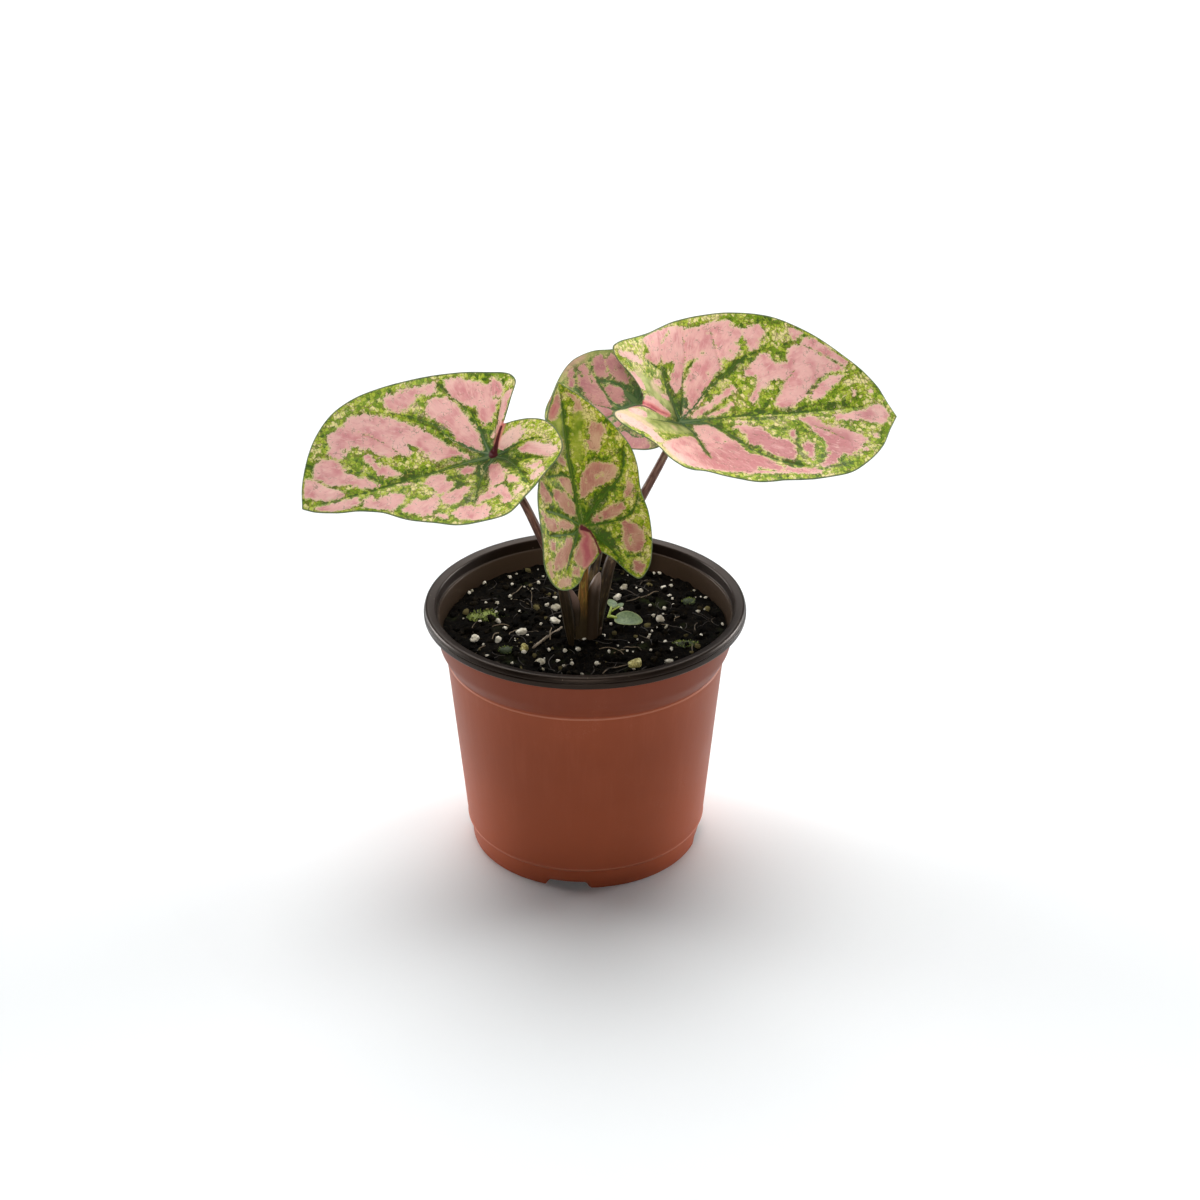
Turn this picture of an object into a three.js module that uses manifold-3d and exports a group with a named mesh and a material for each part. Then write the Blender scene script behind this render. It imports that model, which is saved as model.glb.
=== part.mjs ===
// A young caladium in its thermoformed nursery pot: four heart-shaped leaves on long stalks,
// a rolled new leaf, the tuber with its roots, the potting mix and what lies on it.
// Millimetres, +Z up, standing on z = 0. The origin is under the middle of the model's box.
import * as THREE from "three";
import { mergeVertices } from "three/addons/utils/BufferGeometryUtils.js";
import Module from "manifold-3d";

const wasm = await Module();
wasm.setup();

// ---- Driving dimensions ----

const RIM_RADIUS = 52.5;
const RIM_TOP = 86.9;
const LEDGE_RADIUS = 45.2;
const LEDGE_HEIGHT = 68.4;
const BASE_RADIUS = 38.5;
const FOOT_WIDTH = 4.4;
const FOOT_STEP_HEIGHT = 7.0;
const FLOOR_HEIGHT = 3.1;
const WALL = 1.0;
const POT_SIDES = 48;

const DRAIN_NOTCHES = 4;
const NOTCH_TURN = -98.6;
const NOTCH_WIDTH_TOP = 11.5;
const NOTCH_WIDTH_BOTTOM = 16;
const NOTCH_HEIGHT = 2.6;
const FLOOR_HOLES = 5;
const FLOOR_HOLE_RADIUS = 2.6;
const FLOOR_HOLE_CIRCLE = 21;

const SOIL_LEVEL = 77.2;
const SOIL_MOUND = 0.9;
const CLEARANCE = 0.35;

const BLADE_THICKNESS = 0.8;
const RIM_SAMPLES = 20;
const BLADE_RINGS = [0.14, 0.38, 0.68, 1];
const STALK_SIDES = 10;

const TUBER_CENTRE = [0.4, -8.2, 55];
const TUBER_RADII = [14.5, 13, 9.5];

// The pot's axis stands this far left of the middle of the whole model.
const POT_AXIS = [-7.2, 0, 0];

// ---- Materials ----

const paint = (color, roughness) => new THREE.MeshStandardMaterial({ color, roughness, metalness: 0 });
const MATERIALS = {
  pot: paint(0x8f4b37, 0.55),
  soil: paint(0x1c1611, 0.95),
  tuber: paint(0x6b4a33, 0.85),
  leaf: paint(0x9aa05e, 0.45),
  stalk: paint(0x4b3a30, 0.5),
  shoot: paint(0x8a7370, 0.5),
  scale: paint(0x7a5c48, 0.7),
  weed: paint(0x5d7f55, 0.5),
  twig: paint(0x6d5f50, 0.8),
  moss: paint(0x55701f, 0.9),
  perlite: paint(0xd9d6c6, 0.9),
  bark: paint(0x8d8654, 0.9),
};

// ---- Solids and meshes ----

const radians = THREE.MathUtils.degToRad;
const root = new THREE.Group();
root.position.set(...POT_AXIS);

function solidOf(geometry) {
  const bare = geometry.clone();
  bare.deleteAttribute("normal");
  bare.deleteAttribute("uv");
  const merged = mergeVertices(bare, 1e-3);
  return new wasm.Manifold(
    new wasm.Mesh({
      numProp: 3,
      vertProperties: new Float32Array(merged.attributes.position.array),
      triVerts: new Uint32Array(merged.index.array),
    }),
  );
}

function geometryOf(solid) {
  const mesh = solid.getMesh();
  const geometry = new THREE.BufferGeometry();
  geometry.setAttribute("position", new THREE.BufferAttribute(mesh.vertProperties, 3));
  geometry.setIndex(new THREE.BufferAttribute(mesh.triVerts, 1));
  return geometry;
}

// A cut can leave crumbs beside the body: only the largest piece is kept.
function largestPiece(solid) {
  const pieces = solid.decompose();
  return pieces.reduce((most, piece) => (piece.volume() > most.volume() ? piece : most));
}

function addPiece(name, geometry, material) {
  const mesh = new THREE.Mesh(geometry, material);
  mesh.name = name;
  root.add(mesh);
}

// Revolves (radius, height) pairs about +Z. The profile runs outside upwards, then back down inside.
function revolve(profile, sides) {
  const points = profile.map(([radius, height]) => new THREE.Vector2(radius, height));
  return new THREE.LatheGeometry(points, sides).rotateX(Math.PI / 2);
}

// ---- Pot ----

const potOutside = [
  [BASE_RADIUS - FOOT_WIDTH - 0.8, FLOOR_HEIGHT],
  [BASE_RADIUS - FOOT_WIDTH, 0],
  [BASE_RADIUS, 0],
  [BASE_RADIUS + 0.6, FOOT_STEP_HEIGHT],
  [BASE_RADIUS + 1.6, FOOT_STEP_HEIGHT + 0.7],
  [LEDGE_RADIUS, LEDGE_HEIGHT],
  [LEDGE_RADIUS + 1.5, LEDGE_HEIGHT + 2.8],
  [LEDGE_RADIUS + 2.5, LEDGE_HEIGHT + 5],
  [LEDGE_RADIUS + 3.4, LEDGE_HEIGHT + 10.6],
  [RIM_RADIUS - 3.4, RIM_TOP - 2.6],
  [RIM_RADIUS - 0.8, RIM_TOP - 3.3],
  [RIM_RADIUS, RIM_TOP - 2.7],
  [RIM_RADIUS - 0.5, RIM_TOP - 0.4],
  [RIM_RADIUS - 1.2, RIM_TOP],
];

const potInside = [
  [RIM_RADIUS - 3.9, RIM_TOP - 0.5],
  [RIM_RADIUS - 4.5, RIM_TOP - 4.3],
  [RIM_RADIUS - 5.1, RIM_TOP - 5.9],
  [LEDGE_RADIUS + 1.2, LEDGE_HEIGHT + 5],
  [LEDGE_RADIUS + 0.3, LEDGE_HEIGHT + 2.8],
  [LEDGE_RADIUS - WALL, LEDGE_HEIGHT],
  [BASE_RADIUS + 1.6 - WALL, FOOT_STEP_HEIGHT + 0.7],
  [BASE_RADIUS + 0.5 - WALL, FOOT_STEP_HEIGHT],
  [BASE_RADIUS - WALL, WALL],
  [BASE_RADIUS - FOOT_WIDTH + WALL, WALL],
  [BASE_RADIUS - FOOT_WIDTH, FLOOR_HEIGHT + WALL],
];

function drainNotch(turn) {
  const half = NOTCH_WIDTH_BOTTOM / 2;
  const narrow = NOTCH_WIDTH_TOP / 2;
  const outline = new THREE.Shape([
    new THREE.Vector2(-half, -1),
    new THREE.Vector2(half, -1),
    new THREE.Vector2(narrow, NOTCH_HEIGHT),
    new THREE.Vector2(-narrow, NOTCH_HEIGHT),
  ]);
  const depth = FOOT_WIDTH + 4;
  const block = new THREE.ExtrudeGeometry(outline, { depth, bevelEnabled: false });
  block.rotateX(Math.PI / 2);
  block.translate(0, BASE_RADIUS + 2, 0);
  return solidOf(block.rotateZ(turn - Math.PI / 2));
}

function floorHole(turn) {
  const drill = new THREE.CylinderGeometry(FLOOR_HOLE_RADIUS, FLOOR_HOLE_RADIUS, 12, 12).rotateX(Math.PI / 2);
  drill.translate(FLOOR_HOLE_CIRCLE * Math.cos(turn), FLOOR_HOLE_CIRCLE * Math.sin(turn), FLOOR_HEIGHT);
  return solidOf(drill);
}

function buildPot() {
  const profile = [[0, FLOOR_HEIGHT], ...potOutside, ...potInside, [0, FLOOR_HEIGHT + WALL]];
  let pot = solidOf(revolve(profile, POT_SIDES));
  for (let i = 0; i < DRAIN_NOTCHES; i++) {
    pot = pot.subtract(drainNotch(radians(NOTCH_TURN) + (i * 2 * Math.PI) / DRAIN_NOTCHES));
  }
  for (let i = 0; i < FLOOR_HOLES; i++) {
    pot = pot.subtract(floorHole(((i + 0.5) * 2 * Math.PI) / FLOOR_HOLES));
  }
  addPiece("pot", geometryOf(pot), MATERIALS.pot);
}

// ---- Stalks and other bent, tapering rods ----

// A rod is a list of stations [x, y, z, radius]. "grow" makes it wider and longer all round.
function bentRod(stations, sides, steps, grow = 0) {
  const points = stations.map(([x, y, z]) => new THREE.Vector3(x, y, z));
  const lengthen = (end, inner) => end.addScaledVector(end.clone().sub(inner).normalize(), grow);
  lengthen(points[0], points[1]);
  lengthen(points.at(-1), points.at(-2));
  const path = new THREE.CatmullRomCurve3(points);
  const radiusAt = (along) => {
    const place = along * (stations.length - 1);
    const i = Math.min(Math.floor(place), stations.length - 2);
    return THREE.MathUtils.lerp(stations[i][3], stations[i + 1][3], place - i) + grow;
  };
  const profile = [[0, 0]];
  for (let i = 0; i <= steps; i++) profile.push([1, i / steps]);
  profile.push([0, 1]);
  const rod = revolve(profile, sides);
  const { normals, binormals } = path.computeFrenetFrames(steps, false);
  const spot = rod.attributes.position;
  for (let i = 0; i < spot.count; i++) {
    const step = Math.round(spot.getZ(i) * steps);
    const along = path.getUtoTmapping(step / steps);
    const radius = radiusAt(along);
    const place = path.getPoint(along);
    place.addScaledVector(normals[step], spot.getX(i) * radius);
    place.addScaledVector(binormals[step], spot.getY(i) * radius);
    spot.setXYZ(i, place.x, place.y, place.z);
  }
  return solidOf(rod);
}

// ---- Leaf blades ----

// A blade lies flat in (u, v): u towards the tip, v to its left seen from above, the stalk at (0, 0).
// It is bent as a fan of ribs from the stalk. Each rib starts at its own slope and curves on evenly.
// azimuth, rise and roll turn the whole blade; fold lifts both sides, lift the back lobes, skew one
// lobe against the other; the curls, in 1/m, bend the front, the back, the two sides.
const blades = {
  left: {
    stalkTop: [-27.7, -18, 145.9],
    azimuth: 201,
    rise: -7,
    roll: -38,
    fold: 0.45,
    lift: 0.9,
    skew: -0.25,
    curl: { front: -1, back: -6, skewed: 0, side: 3 },
    leftEdge: [
      [60.6, -0.6], [57.6, 1.7], [51.5, 4.2], [43.5, 6.4], [38.5, 8.6], [33.2, 13.4], [26, 18.4],
      [21.2, 23.3], [14.1, 27.2], [7.3, 30.3], [-0.3, 28], [-9.1, 23.9], [-18.4, 18.4], [-22.1, 14.3],
      [-23.2, 6.8], [-21.8, 0.9], [-18.1, -3.5], [-13, -6.9], [-7.5, -9],
    ],
    rightEdge: [
      [60.6, -0.6], [58.3, -7.9], [53.5, -16.5], [49.2, -21.4], [43.5, -25.4], [36.7, -27.5],
      [28.8, -28.1], [19.8, -27.9], [9.2, -27.3], [0.5, -26.8], [-10.6, -25.2], [-14.5, -23.3],
      [-16.2, -20.3], [-14, -17.3], [-10.8, -13.1], [-7.5, -9],
    ],
  },
  right: {
    stalkTop: [29.6, 2, 148.7],
    azimuth: 5,
    rise: 4,
    roll: 37,
    fold: 0.35,
    lift: 1.0,
    skew: 0.1,
    curl: { front: -3, back: -3, skewed: 1.5, side: 8 },
    leftEdge: [
      [70.2, -1.8], [68, 2.7], [65.4, 8.3], [61.1, 13.5], [55, 18.5], [48.4, 23.3], [40.2, 27.6],
      [32.8, 30.2], [21.2, 31.7], [12.5, 31.8], [-1.1, 31.3], [-19.5, 27.7], [-32.5, 21],
      [-36.4, 16.3], [-34.4, 12], [-29.1, 8.6], [-23.8, 4.5], [-21, -0.3], [-20.8, -4.1],
    ],
    rightEdge: [
      [70.2, -1.8], [67.3, -6.4], [63.4, -13.2], [57.1, -19.3], [50.6, -23.7], [39.8, -26.8],
      [30.4, -28.4], [20.4, -30.5], [13.9, -31], [5.9, -32.9], [-3.6, -37.2], [-10, -34.8],
      [-15, -28.8], [-25.6, -27], [-33.4, -23], [-34.9, -19.3], [-28.2, -11.8], [-20.8, -4.1],
    ],
  },
  front: {
    stalkTop: [-1.1, -14, 120],
    azimuth: 112,
    rise: 71,
    roll: 17,
    fold: 0.34,
    lift: 0.23,
    skew: -0.05,
    curl: { front: -1, back: -5, skewed: 0, side: 2 },
    leftEdge: [
      [45.7, 0.9], [40.9, 5], [35.7, 8.3], [20.8, 16.2], [12.8, 20.5], [5.5, 22.9], [-2.3, 24.1],
      [-9.2, 23.7], [-14.3, 20.9], [-17.2, 16.7], [-18.2, 11.4], [-16.9, 6.2], [-13.6, 2.6],
      [-11.8, -1.3], [-9.2, -4.8],
    ],
    rightEdge: [
      [45.7, 0.9], [39.9, -6.6], [33.8, -12.7], [28, -17.1], [22.6, -20], [16.7, -21.1],
      [9.1, -21], [2.2, -22.4], [-4.9, -22.5], [-11, -21.5], [-16.8, -19.3], [-19.9, -15.5],
      [-17.4, -12.1], [-13.5, -9.2], [-11.1, -7.1], [-9.2, -4.8],
    ],
  },
  back: {
    stalkTop: [16.9, 28, 144],
    azimuth: 168,
    rise: 8,
    roll: -38,
    fold: 0.3,
    lift: 0.6,
    skew: 0,
    curl: { front: -6, back: -6, skewed: 0, side: 0 },
    leftEdge: [
      [30, 3], [27.5, 8.4], [22.5, 13.4], [16, 17], [9, 19.6], [2, 21.7], [-4, 23], [-9.5, 24],
      [-14, 22.5], [-15.5, 17], [-13.5, 10.5], [-10, 5], [-6, -1],
    ],
    rightEdge: [
      [30, 3], [26.8, -4.5], [24.7, -10.1], [21.6, -13.4], [17.8, -15.4], [13, -16.3], [7, -17.5],
      [0, -18.5], [-7, -17], [-12, -12.5], [-12.5, -7.5], [-9.5, -3.5], [-6, -1],
    ],
  },
};

function bladeAxes({ azimuth, rise, roll }) {
  const [az, el, turn] = [azimuth, rise, roll].map(radians);
  const toTip = new THREE.Vector3(Math.cos(el) * Math.cos(az), Math.cos(el) * Math.sin(az), Math.sin(el));
  const upright = new THREE.Vector3(-Math.sin(el) * Math.cos(az), -Math.sin(el) * Math.sin(az), Math.cos(el));
  const level = new THREE.Vector3().crossVectors(upright, toTip);
  const toLeft = level.multiplyScalar(Math.cos(turn)).addScaledVector(upright, Math.sin(turn));
  const up = new THREE.Vector3().crossVectors(toTip, toLeft);
  return { toTip, toLeft, up };
}

function bladePoint(blade, axes, u, v) {
  const length = Math.hypot(u, v);
  const angle = Math.atan2(v, u);
  const ahead = Math.cos(angle);
  const aside = Math.sin(angle);
  const behind = ((1 - ahead) / 2) ** 2;
  const slope = blade.fold * aside ** 2 + blade.lift * behind + blade.skew * aside * behind;
  const { front, back, skewed, side } = blade.curl;
  const curl = (front * (1 + ahead)) / 2 + (back * (1 - ahead)) / 2 + skewed * aside + side * aside ** 2;
  const bend = Math.abs(curl) < 1e-4 ? 1e-7 : curl / 1000;
  const reach = (Math.sin(slope + bend * length) - Math.sin(slope)) / bend;
  const height = (Math.cos(slope) - Math.cos(slope + bend * length)) / bend;
  return new THREE.Vector3(...blade.stalkTop)
    .addScaledVector(axes.toTip, reach * ahead)
    .addScaledVector(axes.toLeft, reach * aside)
    .addScaledVector(axes.up, height);
}

function bladeNormal(blade, axes, u, v) {
  if (Math.hypot(u, v) < 1e-6) return axes.up.clone();
  const step = 0.05;
  const here = bladePoint(blade, axes, u, v);
  const alongU = bladePoint(blade, axes, u + step, v).sub(here);
  const alongV = bladePoint(blade, axes, u, v + step).sub(here);
  return alongU.cross(alongV).normalize();
}

// Rim points from the tip round the left side to the cleft at the stalk and back round the right side.
function bladeRim({ leftEdge, rightEdge }) {
  const sample = (edge) => {
    const flat = edge.map(([u, v]) => new THREE.Vector3(u, v, 0));
    return new THREE.CatmullRomCurve3(flat, false, "centripetal").getSpacedPoints(RIM_SAMPLES);
  };
  const left = sample(leftEdge);
  const right = sample(rightEdge).reverse();
  return [...left, ...right.slice(1, -1)];
}

// A thin round disc, pressed into the shape of the blade.
function buildBlade(blade, thickness) {
  const axes = bladeAxes(blade);
  const rim = bladeRim(blade);
  const rings = [0, ...BLADE_RINGS];
  const below = rings.map((ring) => [ring, -1]);
  const above = [...rings].reverse().map((ring) => [ring, 1]);
  const profile = [...below, ...above];
  const disc = revolve(profile, rim.length);
  const spot = disc.attributes.position;
  for (let i = 0; i < spot.count; i++) {
    const spoke = Math.floor(i / profile.length) % rim.length;
    const [ring, face] = profile[i % profile.length];
    const { x: u, y: v } = rim[spoke].clone().multiplyScalar(ring);
    const place = bladePoint(blade, axes, u, v);
    place.addScaledVector(bladeNormal(blade, axes, u, v), (face * thickness) / 2);
    spot.setXYZ(i, place.x, place.y, place.z);
  }
  return solidOf(disc);
}

// ---- Tuber, stalks and shoot ----

// Stations [x, y, z, radius] from inside the tuber to the blade, or to the tip.
const stalks = {
  left: [
    [-2.6, -11.6, 60, 1.5], [-4.2, -13, 77.5, 1.9], [-5.4, -13.4, 88, 2.0], [-7.9, -13.8, 102, 1.7],
    [-14.2, -14.5, 118, 1.4], [-19.2, -16.4, 130.4, 1.25], [-24, -17.4, 139.4, 1.2], [-28.4, -17.8, 147.5, 1.2],
  ],
  right: [
    [2.6, -6, 60, 1.5], [3.7, -5.6, 77.5, 2.1], [5.5, -5.4, 90, 2.05], [7.9, -5, 102, 1.8],
    [12.6, -3.5, 113.9, 1.55], [18.4, -2, 125.2, 1.4], [24.2, -0.6, 136.4, 1.25], [30.6, 2.2, 150.5, 1.2],
  ],
  front: [
    [-0.4, -8.9, 60, 1.2], [-1.3, -9.2, 77.5, 1.4], [-0.9, -9.5, 88, 1.45], [-0.3, -9.9, 98, 1.35],
    [0, -10.4, 108, 1.2], [-0.5, -12, 116, 1.1], [-1.3, -15, 121.6, 1.1],
  ],
  back: [
    [-0.3, -5, 60, 1.3], [-0.6, -5, 77.5, 1.7], [1.1, -4, 90, 1.7], [3.6, -1.9, 102.4, 1.5],
    [8, 8.6, 120, 1.2], [12.2, 19, 132.5, 1.1], [17.6, 28.7, 145.8, 1.1],
  ],
};

const shoot = [
  [1.9, -9.2, 60, 1.2], [2.2, -9.4, 77.5, 1.4], [2.8, -9, 88, 1.75], [3.5, -8.7, 96, 1.95],
  [4.2, -8.4, 100.4, 1.3], [4.6, -8.2, 102.6, 0.5],
];

const roots = [
  [[8, -4, 50, 0.9], [17, 1, 42, 0.7], [25, 4, 30, 0.5], [29, 2, 17, 0.3]],
  [[-7, -4, 50, 0.9], [-17, 2, 43, 0.7], [-24, 8, 31, 0.5], [-27, 11, 16, 0.3]],
  [[2, -1, 49, 0.9], [4, 10, 41, 0.7], [6, 20, 30, 0.5], [3, 27, 18, 0.3]],
  [[-3, -14, 49, 0.9], [-8, -22, 41, 0.7], [-13, -27, 29, 0.5], [-12, -30, 15, 0.3]],
  [[5, -14, 49, 0.9], [11, -20, 40, 0.7], [16, -26, 28, 0.5], [20, -25, 15, 0.3]],
];

function tuberBody(grow) {
  const ball = new THREE.SphereGeometry(1, 16, 10).rotateX(Math.PI / 2);
  ball.scale(...TUBER_RADII.map((radius) => radius + grow));
  ball.translate(...TUBER_CENTRE);
  return roots.reduce((body, stations) => body.add(bentRod(stations, 6, 8, grow)), solidOf(ball));
}

// Trims a rod so that it stops just short of the tuber below and of the blade above.
function trimmedStalk(stations, blade) {
  let stalk = bentRod(stations, STALK_SIDES, 16).subtract(tuberBody(CLEARANCE));
  if (blade) stalk = stalk.subtract(buildBlade(blade, BLADE_THICKNESS + 2 * CLEARANCE));
  return largestPiece(stalk);
}

function buildPlant() {
  addPiece("tuber_with_roots", geometryOf(tuberBody(0)), MATERIALS.tuber);
  for (const [side, blade] of Object.entries(blades)) {
    addPiece(`leaf_blade_${side}`, geometryOf(buildBlade(blade, BLADE_THICKNESS)), MATERIALS.leaf);
    addPiece(`leaf_stalk_${side}`, geometryOf(trimmedStalk(stalks[side], blade)), MATERIALS.stalk);
  }
  addPiece("new_leaf_shoot", geometryOf(trimmedStalk(shoot)), MATERIALS.shoot);
}

// ---- Potting mix ----

// A small dry scale leaf at the foot of the stalks.
const dryScale = [[6.6, -8.7, 76, 0.75], [6.5, -8.8, 79.5, 0.7], [6.8, -8.6, 83.4, 0.2]];

function soilHeight(x, y) {
  const spread = Math.min(Math.hypot(x, y) / (LEDGE_RADIUS + 1), 1);
  return SOIL_LEVEL + SOIL_MOUND * (1 - spread ** 2);
}

function buildSoil() {
  const walls = [...potInside]
    .reverse()
    .filter(([, height]) => height >= FOOT_STEP_HEIGHT && height < SOIL_LEVEL)
    .map(([radius, height]) => [radius - CLEARANCE, height]);
  const bottom = FLOOR_HEIGHT + WALL + CLEARANCE;
  const topRadius = LEDGE_RADIUS + 1.6 - CLEARANCE;
  const surface = [topRadius, 0.75 * topRadius, 0.5 * topRadius, 0.25 * topRadius];
  const profile = [
    [0, bottom],
    [BASE_RADIUS - WALL - CLEARANCE, bottom],
    ...walls,
    ...surface.map((radius) => [radius, soilHeight(radius, 0)]),
    [0, SOIL_LEVEL + SOIL_MOUND],
  ];
  let soil = solidOf(revolve(profile, POT_SIDES));
  soil = soil.subtract(tuberBody(CLEARANCE));
  for (const stations of [...Object.values(stalks), shoot]) {
    soil = soil.subtract(bentRod(stations.slice(0, 3), STALK_SIDES, 6, CLEARANCE));
  }
  soil = soil.subtract(bentRod(dryScale, 6, 4, CLEARANCE));
  addPiece("soil", geometryOf(largestPiece(soil)), MATERIALS.soil);
  addPiece("dry_scale_leaf", geometryOf(bentRod(dryScale, 6, 4)), MATERIALS.scale);
}

// ---- What lies on the soil ----

// A lump rests on the soil at (x, y): half sizes along x, y and z, and a turn in degrees.
function lumpOnSoil(x, y, [wide, deep, high], turn, detail = 1) {
  const lump = new THREE.IcosahedronGeometry(1, detail);
  lump.scale(wide, deep, high).rotateZ(radians(turn));
  return lump.translate(x, y, soilHeight(x, y) + high + CLEARANCE);
}

const perlite = [
  [-9.8, 9.8, [1.7, 1.3, 1], 10], [-10.1, 1.9, [1.8, 1.4, 1], 25], [-20.9, -6.6, [1.3, 1.8, 1.1], 60],
  [-14.2, -24.9, [1.5, 1.3, 0.9], 0], [-35.7, -11.3, [1.5, 1.4, 1.1], 30], [-27.9, -11.1, [1.2, 1.2, 1], 0],
  [24.7, 1.9, [1.4, 1.2, 0.9], 40], [26.7, -25.2, [1.4, 1, 0.8], 15], [13, 25.6, [1.3, 1.2, 0.9], 0],
  [10.9, 16.5, [1.2, 1.4, 1], 70],
];

const bark = [[16, -27.5, [2.6, 1.7, 1.1], 5], [-19.4, -18.2, [1.5, 1.4, 1.3], 0]];

const moss = [
  ["moss_tuft_left", -33, 6, [6, 4, 1.1], 15],
  ["moss_tuft_near", -25.2, -19.4, [2.4, 2, 1.6], 0],
  ["moss_tuft_right", 32.5, -13.2, [4, 2.2, 0.9], 35],
  ["moss_tuft_far", 34.6, 16.5, [2.2, 2, 1.5], 0],
];

const twig = [[-16.6, -17, 78.4, 0.35], [-12, -10.6, 79, 0.45], [-9.4, -7, 78.9, 0.4], [-7.6, -3.6, 78.7, 0.3]];

// A weed seedling: two short stems that carry a larger and a small leaf.
const weed = {
  stems: [
    [[8.4, 4.9, 78.7, 0.5], [8.4, 5.5, 80.4, 0.45], [8, 6.4, 81.4, 0.4]],
    [[8.4, 5.2, 79.6, 0.5], [9.9, 4.9, 81, 0.45], [11.6, 4.5, 81.4, 0.4]],
  ],
  leaves: [
    { at: [14.4, 3.8, 81], size: [5, 2.9, 0.45], turn: -14, tilt: 8 },
    { at: [7.7, 7.4, 81.4], size: [1.7, 2.6, 0.4], turn: 20, tilt: 0 },
  ],
};

function buildWeed() {
  let body = bentRod(weed.stems[0], 8, 6).add(bentRod(weed.stems[1], 8, 6));
  for (const { at, size, turn, tilt } of weed.leaves) {
    const leaf = new THREE.SphereGeometry(1, 12, 6).rotateX(Math.PI / 2).scale(...size);
    leaf.rotateY(radians(tilt)).rotateZ(radians(turn)).translate(...at);
    body = body.add(solidOf(leaf));
  }
  addPiece("weed_seedling", geometryOf(body), MATERIALS.weed);
}

function buildLitter() {
  perlite.forEach(([x, y, size, turn], i) => {
    addPiece(`perlite_grain_${i + 1}`, lumpOnSoil(x, y, size, turn, 0), MATERIALS.perlite);
  });
  bark.forEach(([x, y, size, turn], i) => {
    addPiece(`bark_chip_${i + 1}`, lumpOnSoil(x, y, size, turn, 0), MATERIALS.bark);
  });
  for (const [name, x, y, size, turn] of moss) {
    addPiece(name, lumpOnSoil(x, y, size, turn), MATERIALS.moss);
  }
  addPiece("twig", geometryOf(bentRod(twig, 6, 8)), MATERIALS.twig);
}

buildPot();
buildSoil();
buildPlant();
buildWeed();
buildLitter();

export default root;
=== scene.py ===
import bmesh
import bpy
import numpy as np
from mathutils import Matrix, Vector


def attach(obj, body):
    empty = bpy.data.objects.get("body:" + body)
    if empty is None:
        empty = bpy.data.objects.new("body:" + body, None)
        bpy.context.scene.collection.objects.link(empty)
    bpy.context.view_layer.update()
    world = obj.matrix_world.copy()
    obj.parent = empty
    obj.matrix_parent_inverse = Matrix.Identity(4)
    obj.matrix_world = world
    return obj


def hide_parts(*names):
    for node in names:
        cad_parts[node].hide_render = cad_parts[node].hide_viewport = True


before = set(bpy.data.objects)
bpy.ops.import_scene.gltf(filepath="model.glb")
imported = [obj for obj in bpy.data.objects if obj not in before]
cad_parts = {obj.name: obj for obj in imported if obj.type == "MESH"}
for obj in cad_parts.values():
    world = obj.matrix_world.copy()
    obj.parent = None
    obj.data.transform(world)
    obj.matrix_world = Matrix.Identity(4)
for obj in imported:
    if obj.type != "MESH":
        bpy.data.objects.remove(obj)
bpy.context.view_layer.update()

# ---- Sizes: millimetres, measured from the pot's axis at table level, +Z up ----

MM = 0.001
POT_AXIS = np.array([-7.2, 0.0, 0.0])

RIM_RADIUS = 52.5
RIM_TOP = 86.9
LEDGE_RADIUS = 45.2
LEDGE_HEIGHT = 68.4
BASE_RADIUS = 38.5
FOOT_WIDTH = 4.4
FOOT_STEP_HEIGHT = 7.0
FLOOR_HEIGHT = 3.1
WALL = 1.0
NOTCH_TURN = -98.6
NOTCH_COUNT = 4
NOTCH_HALF_TOP = 5.75
NOTCH_HALF_BOTTOM = 8.0
NOTCH_HEIGHT = 2.6
FLOOR_HOLES = 5
FLOOR_HOLE_RADIUS = 2.6
FLOOR_HOLE_CIRCLE = 21.0

SOIL_LEVEL = 77.2
SOIL_MOUND = 0.9
SOIL_RADIUS = 46.5
SOIL_SIDE = [(46.3, 73.5), (45.3, 71.2), (43.9, 68.4), (38.8, 8.0), (36.4, 4.5)]
CRUMB_COUNT = 620
FIBRE_COUNT = 120
FINE_GRAIN_COUNT = 60

BLADE_THICKNESS = 0.4
HEM_ROUNDING = 0.12
VEIN_DEPTH = 0.3
VEIN_RIB = 0.75
QUILT_HEIGHT = 0.4

CAMERA_AIM = (-2.33, 0.0, 86.8)
CAMERA_RISE = 27.6
CAMERA_DISTANCE = 700.0
CAMERA_LENS = 64.47
SENSOR = 36.0
VIEW_SIDE = 1200
LAMP_DISTANCE = 1500.0
LEAF_LAMP_HEIGHT = 168.0
FLOOR_SIDE = 12000.0

FULL_TURN = 2 * np.pi
FAR = 60.0
chance = np.random.default_rng(11)


def colour(red, green, blue):
    """A screen colour, 0 to 255 a channel, as the linear values that shaders take."""
    shown = np.array([red, green, blue]) / 255
    linear = np.where(shown <= 0.04045, shown / 12.92, ((shown + 0.055) / 1.055) ** 2.4)
    return (*linear, 1.0)


# ---- Numbers that vary smoothly over a surface ----


def lattice_noise(places, seed):
    """Smooth random values from 0 to 1 at 3-D places whose lattice step is one."""
    cell = np.floor(places).astype(np.int64)
    part = places - cell
    part = part * part * (3 - 2 * part)
    total = np.zeros(len(places))
    for corner in np.ndindex(2, 2, 2):
        x, y, z = (cell + np.array(corner)).T
        mixed = (x * 73856093) ^ (y * 19349663) ^ (z * 83492791) ^ (seed * 26544357)
        mixed = (mixed ^ (mixed >> 13)) * 1274126177
        value = ((mixed ^ (mixed >> 16)) & 0xFFFF) / 0xFFFF
        total += value * np.prod(np.where(corner, part, 1 - part), axis=1)
    return total


def roughness_of(places, layers, seed):
    """Adds layers of noise, each (feature size, height), at places in millimetres."""
    total = np.zeros(len(places))
    for number, (size, height) in enumerate(layers):
        total += (lattice_noise(places / size, seed + number) - 0.5) * 2 * height
    return total


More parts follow.
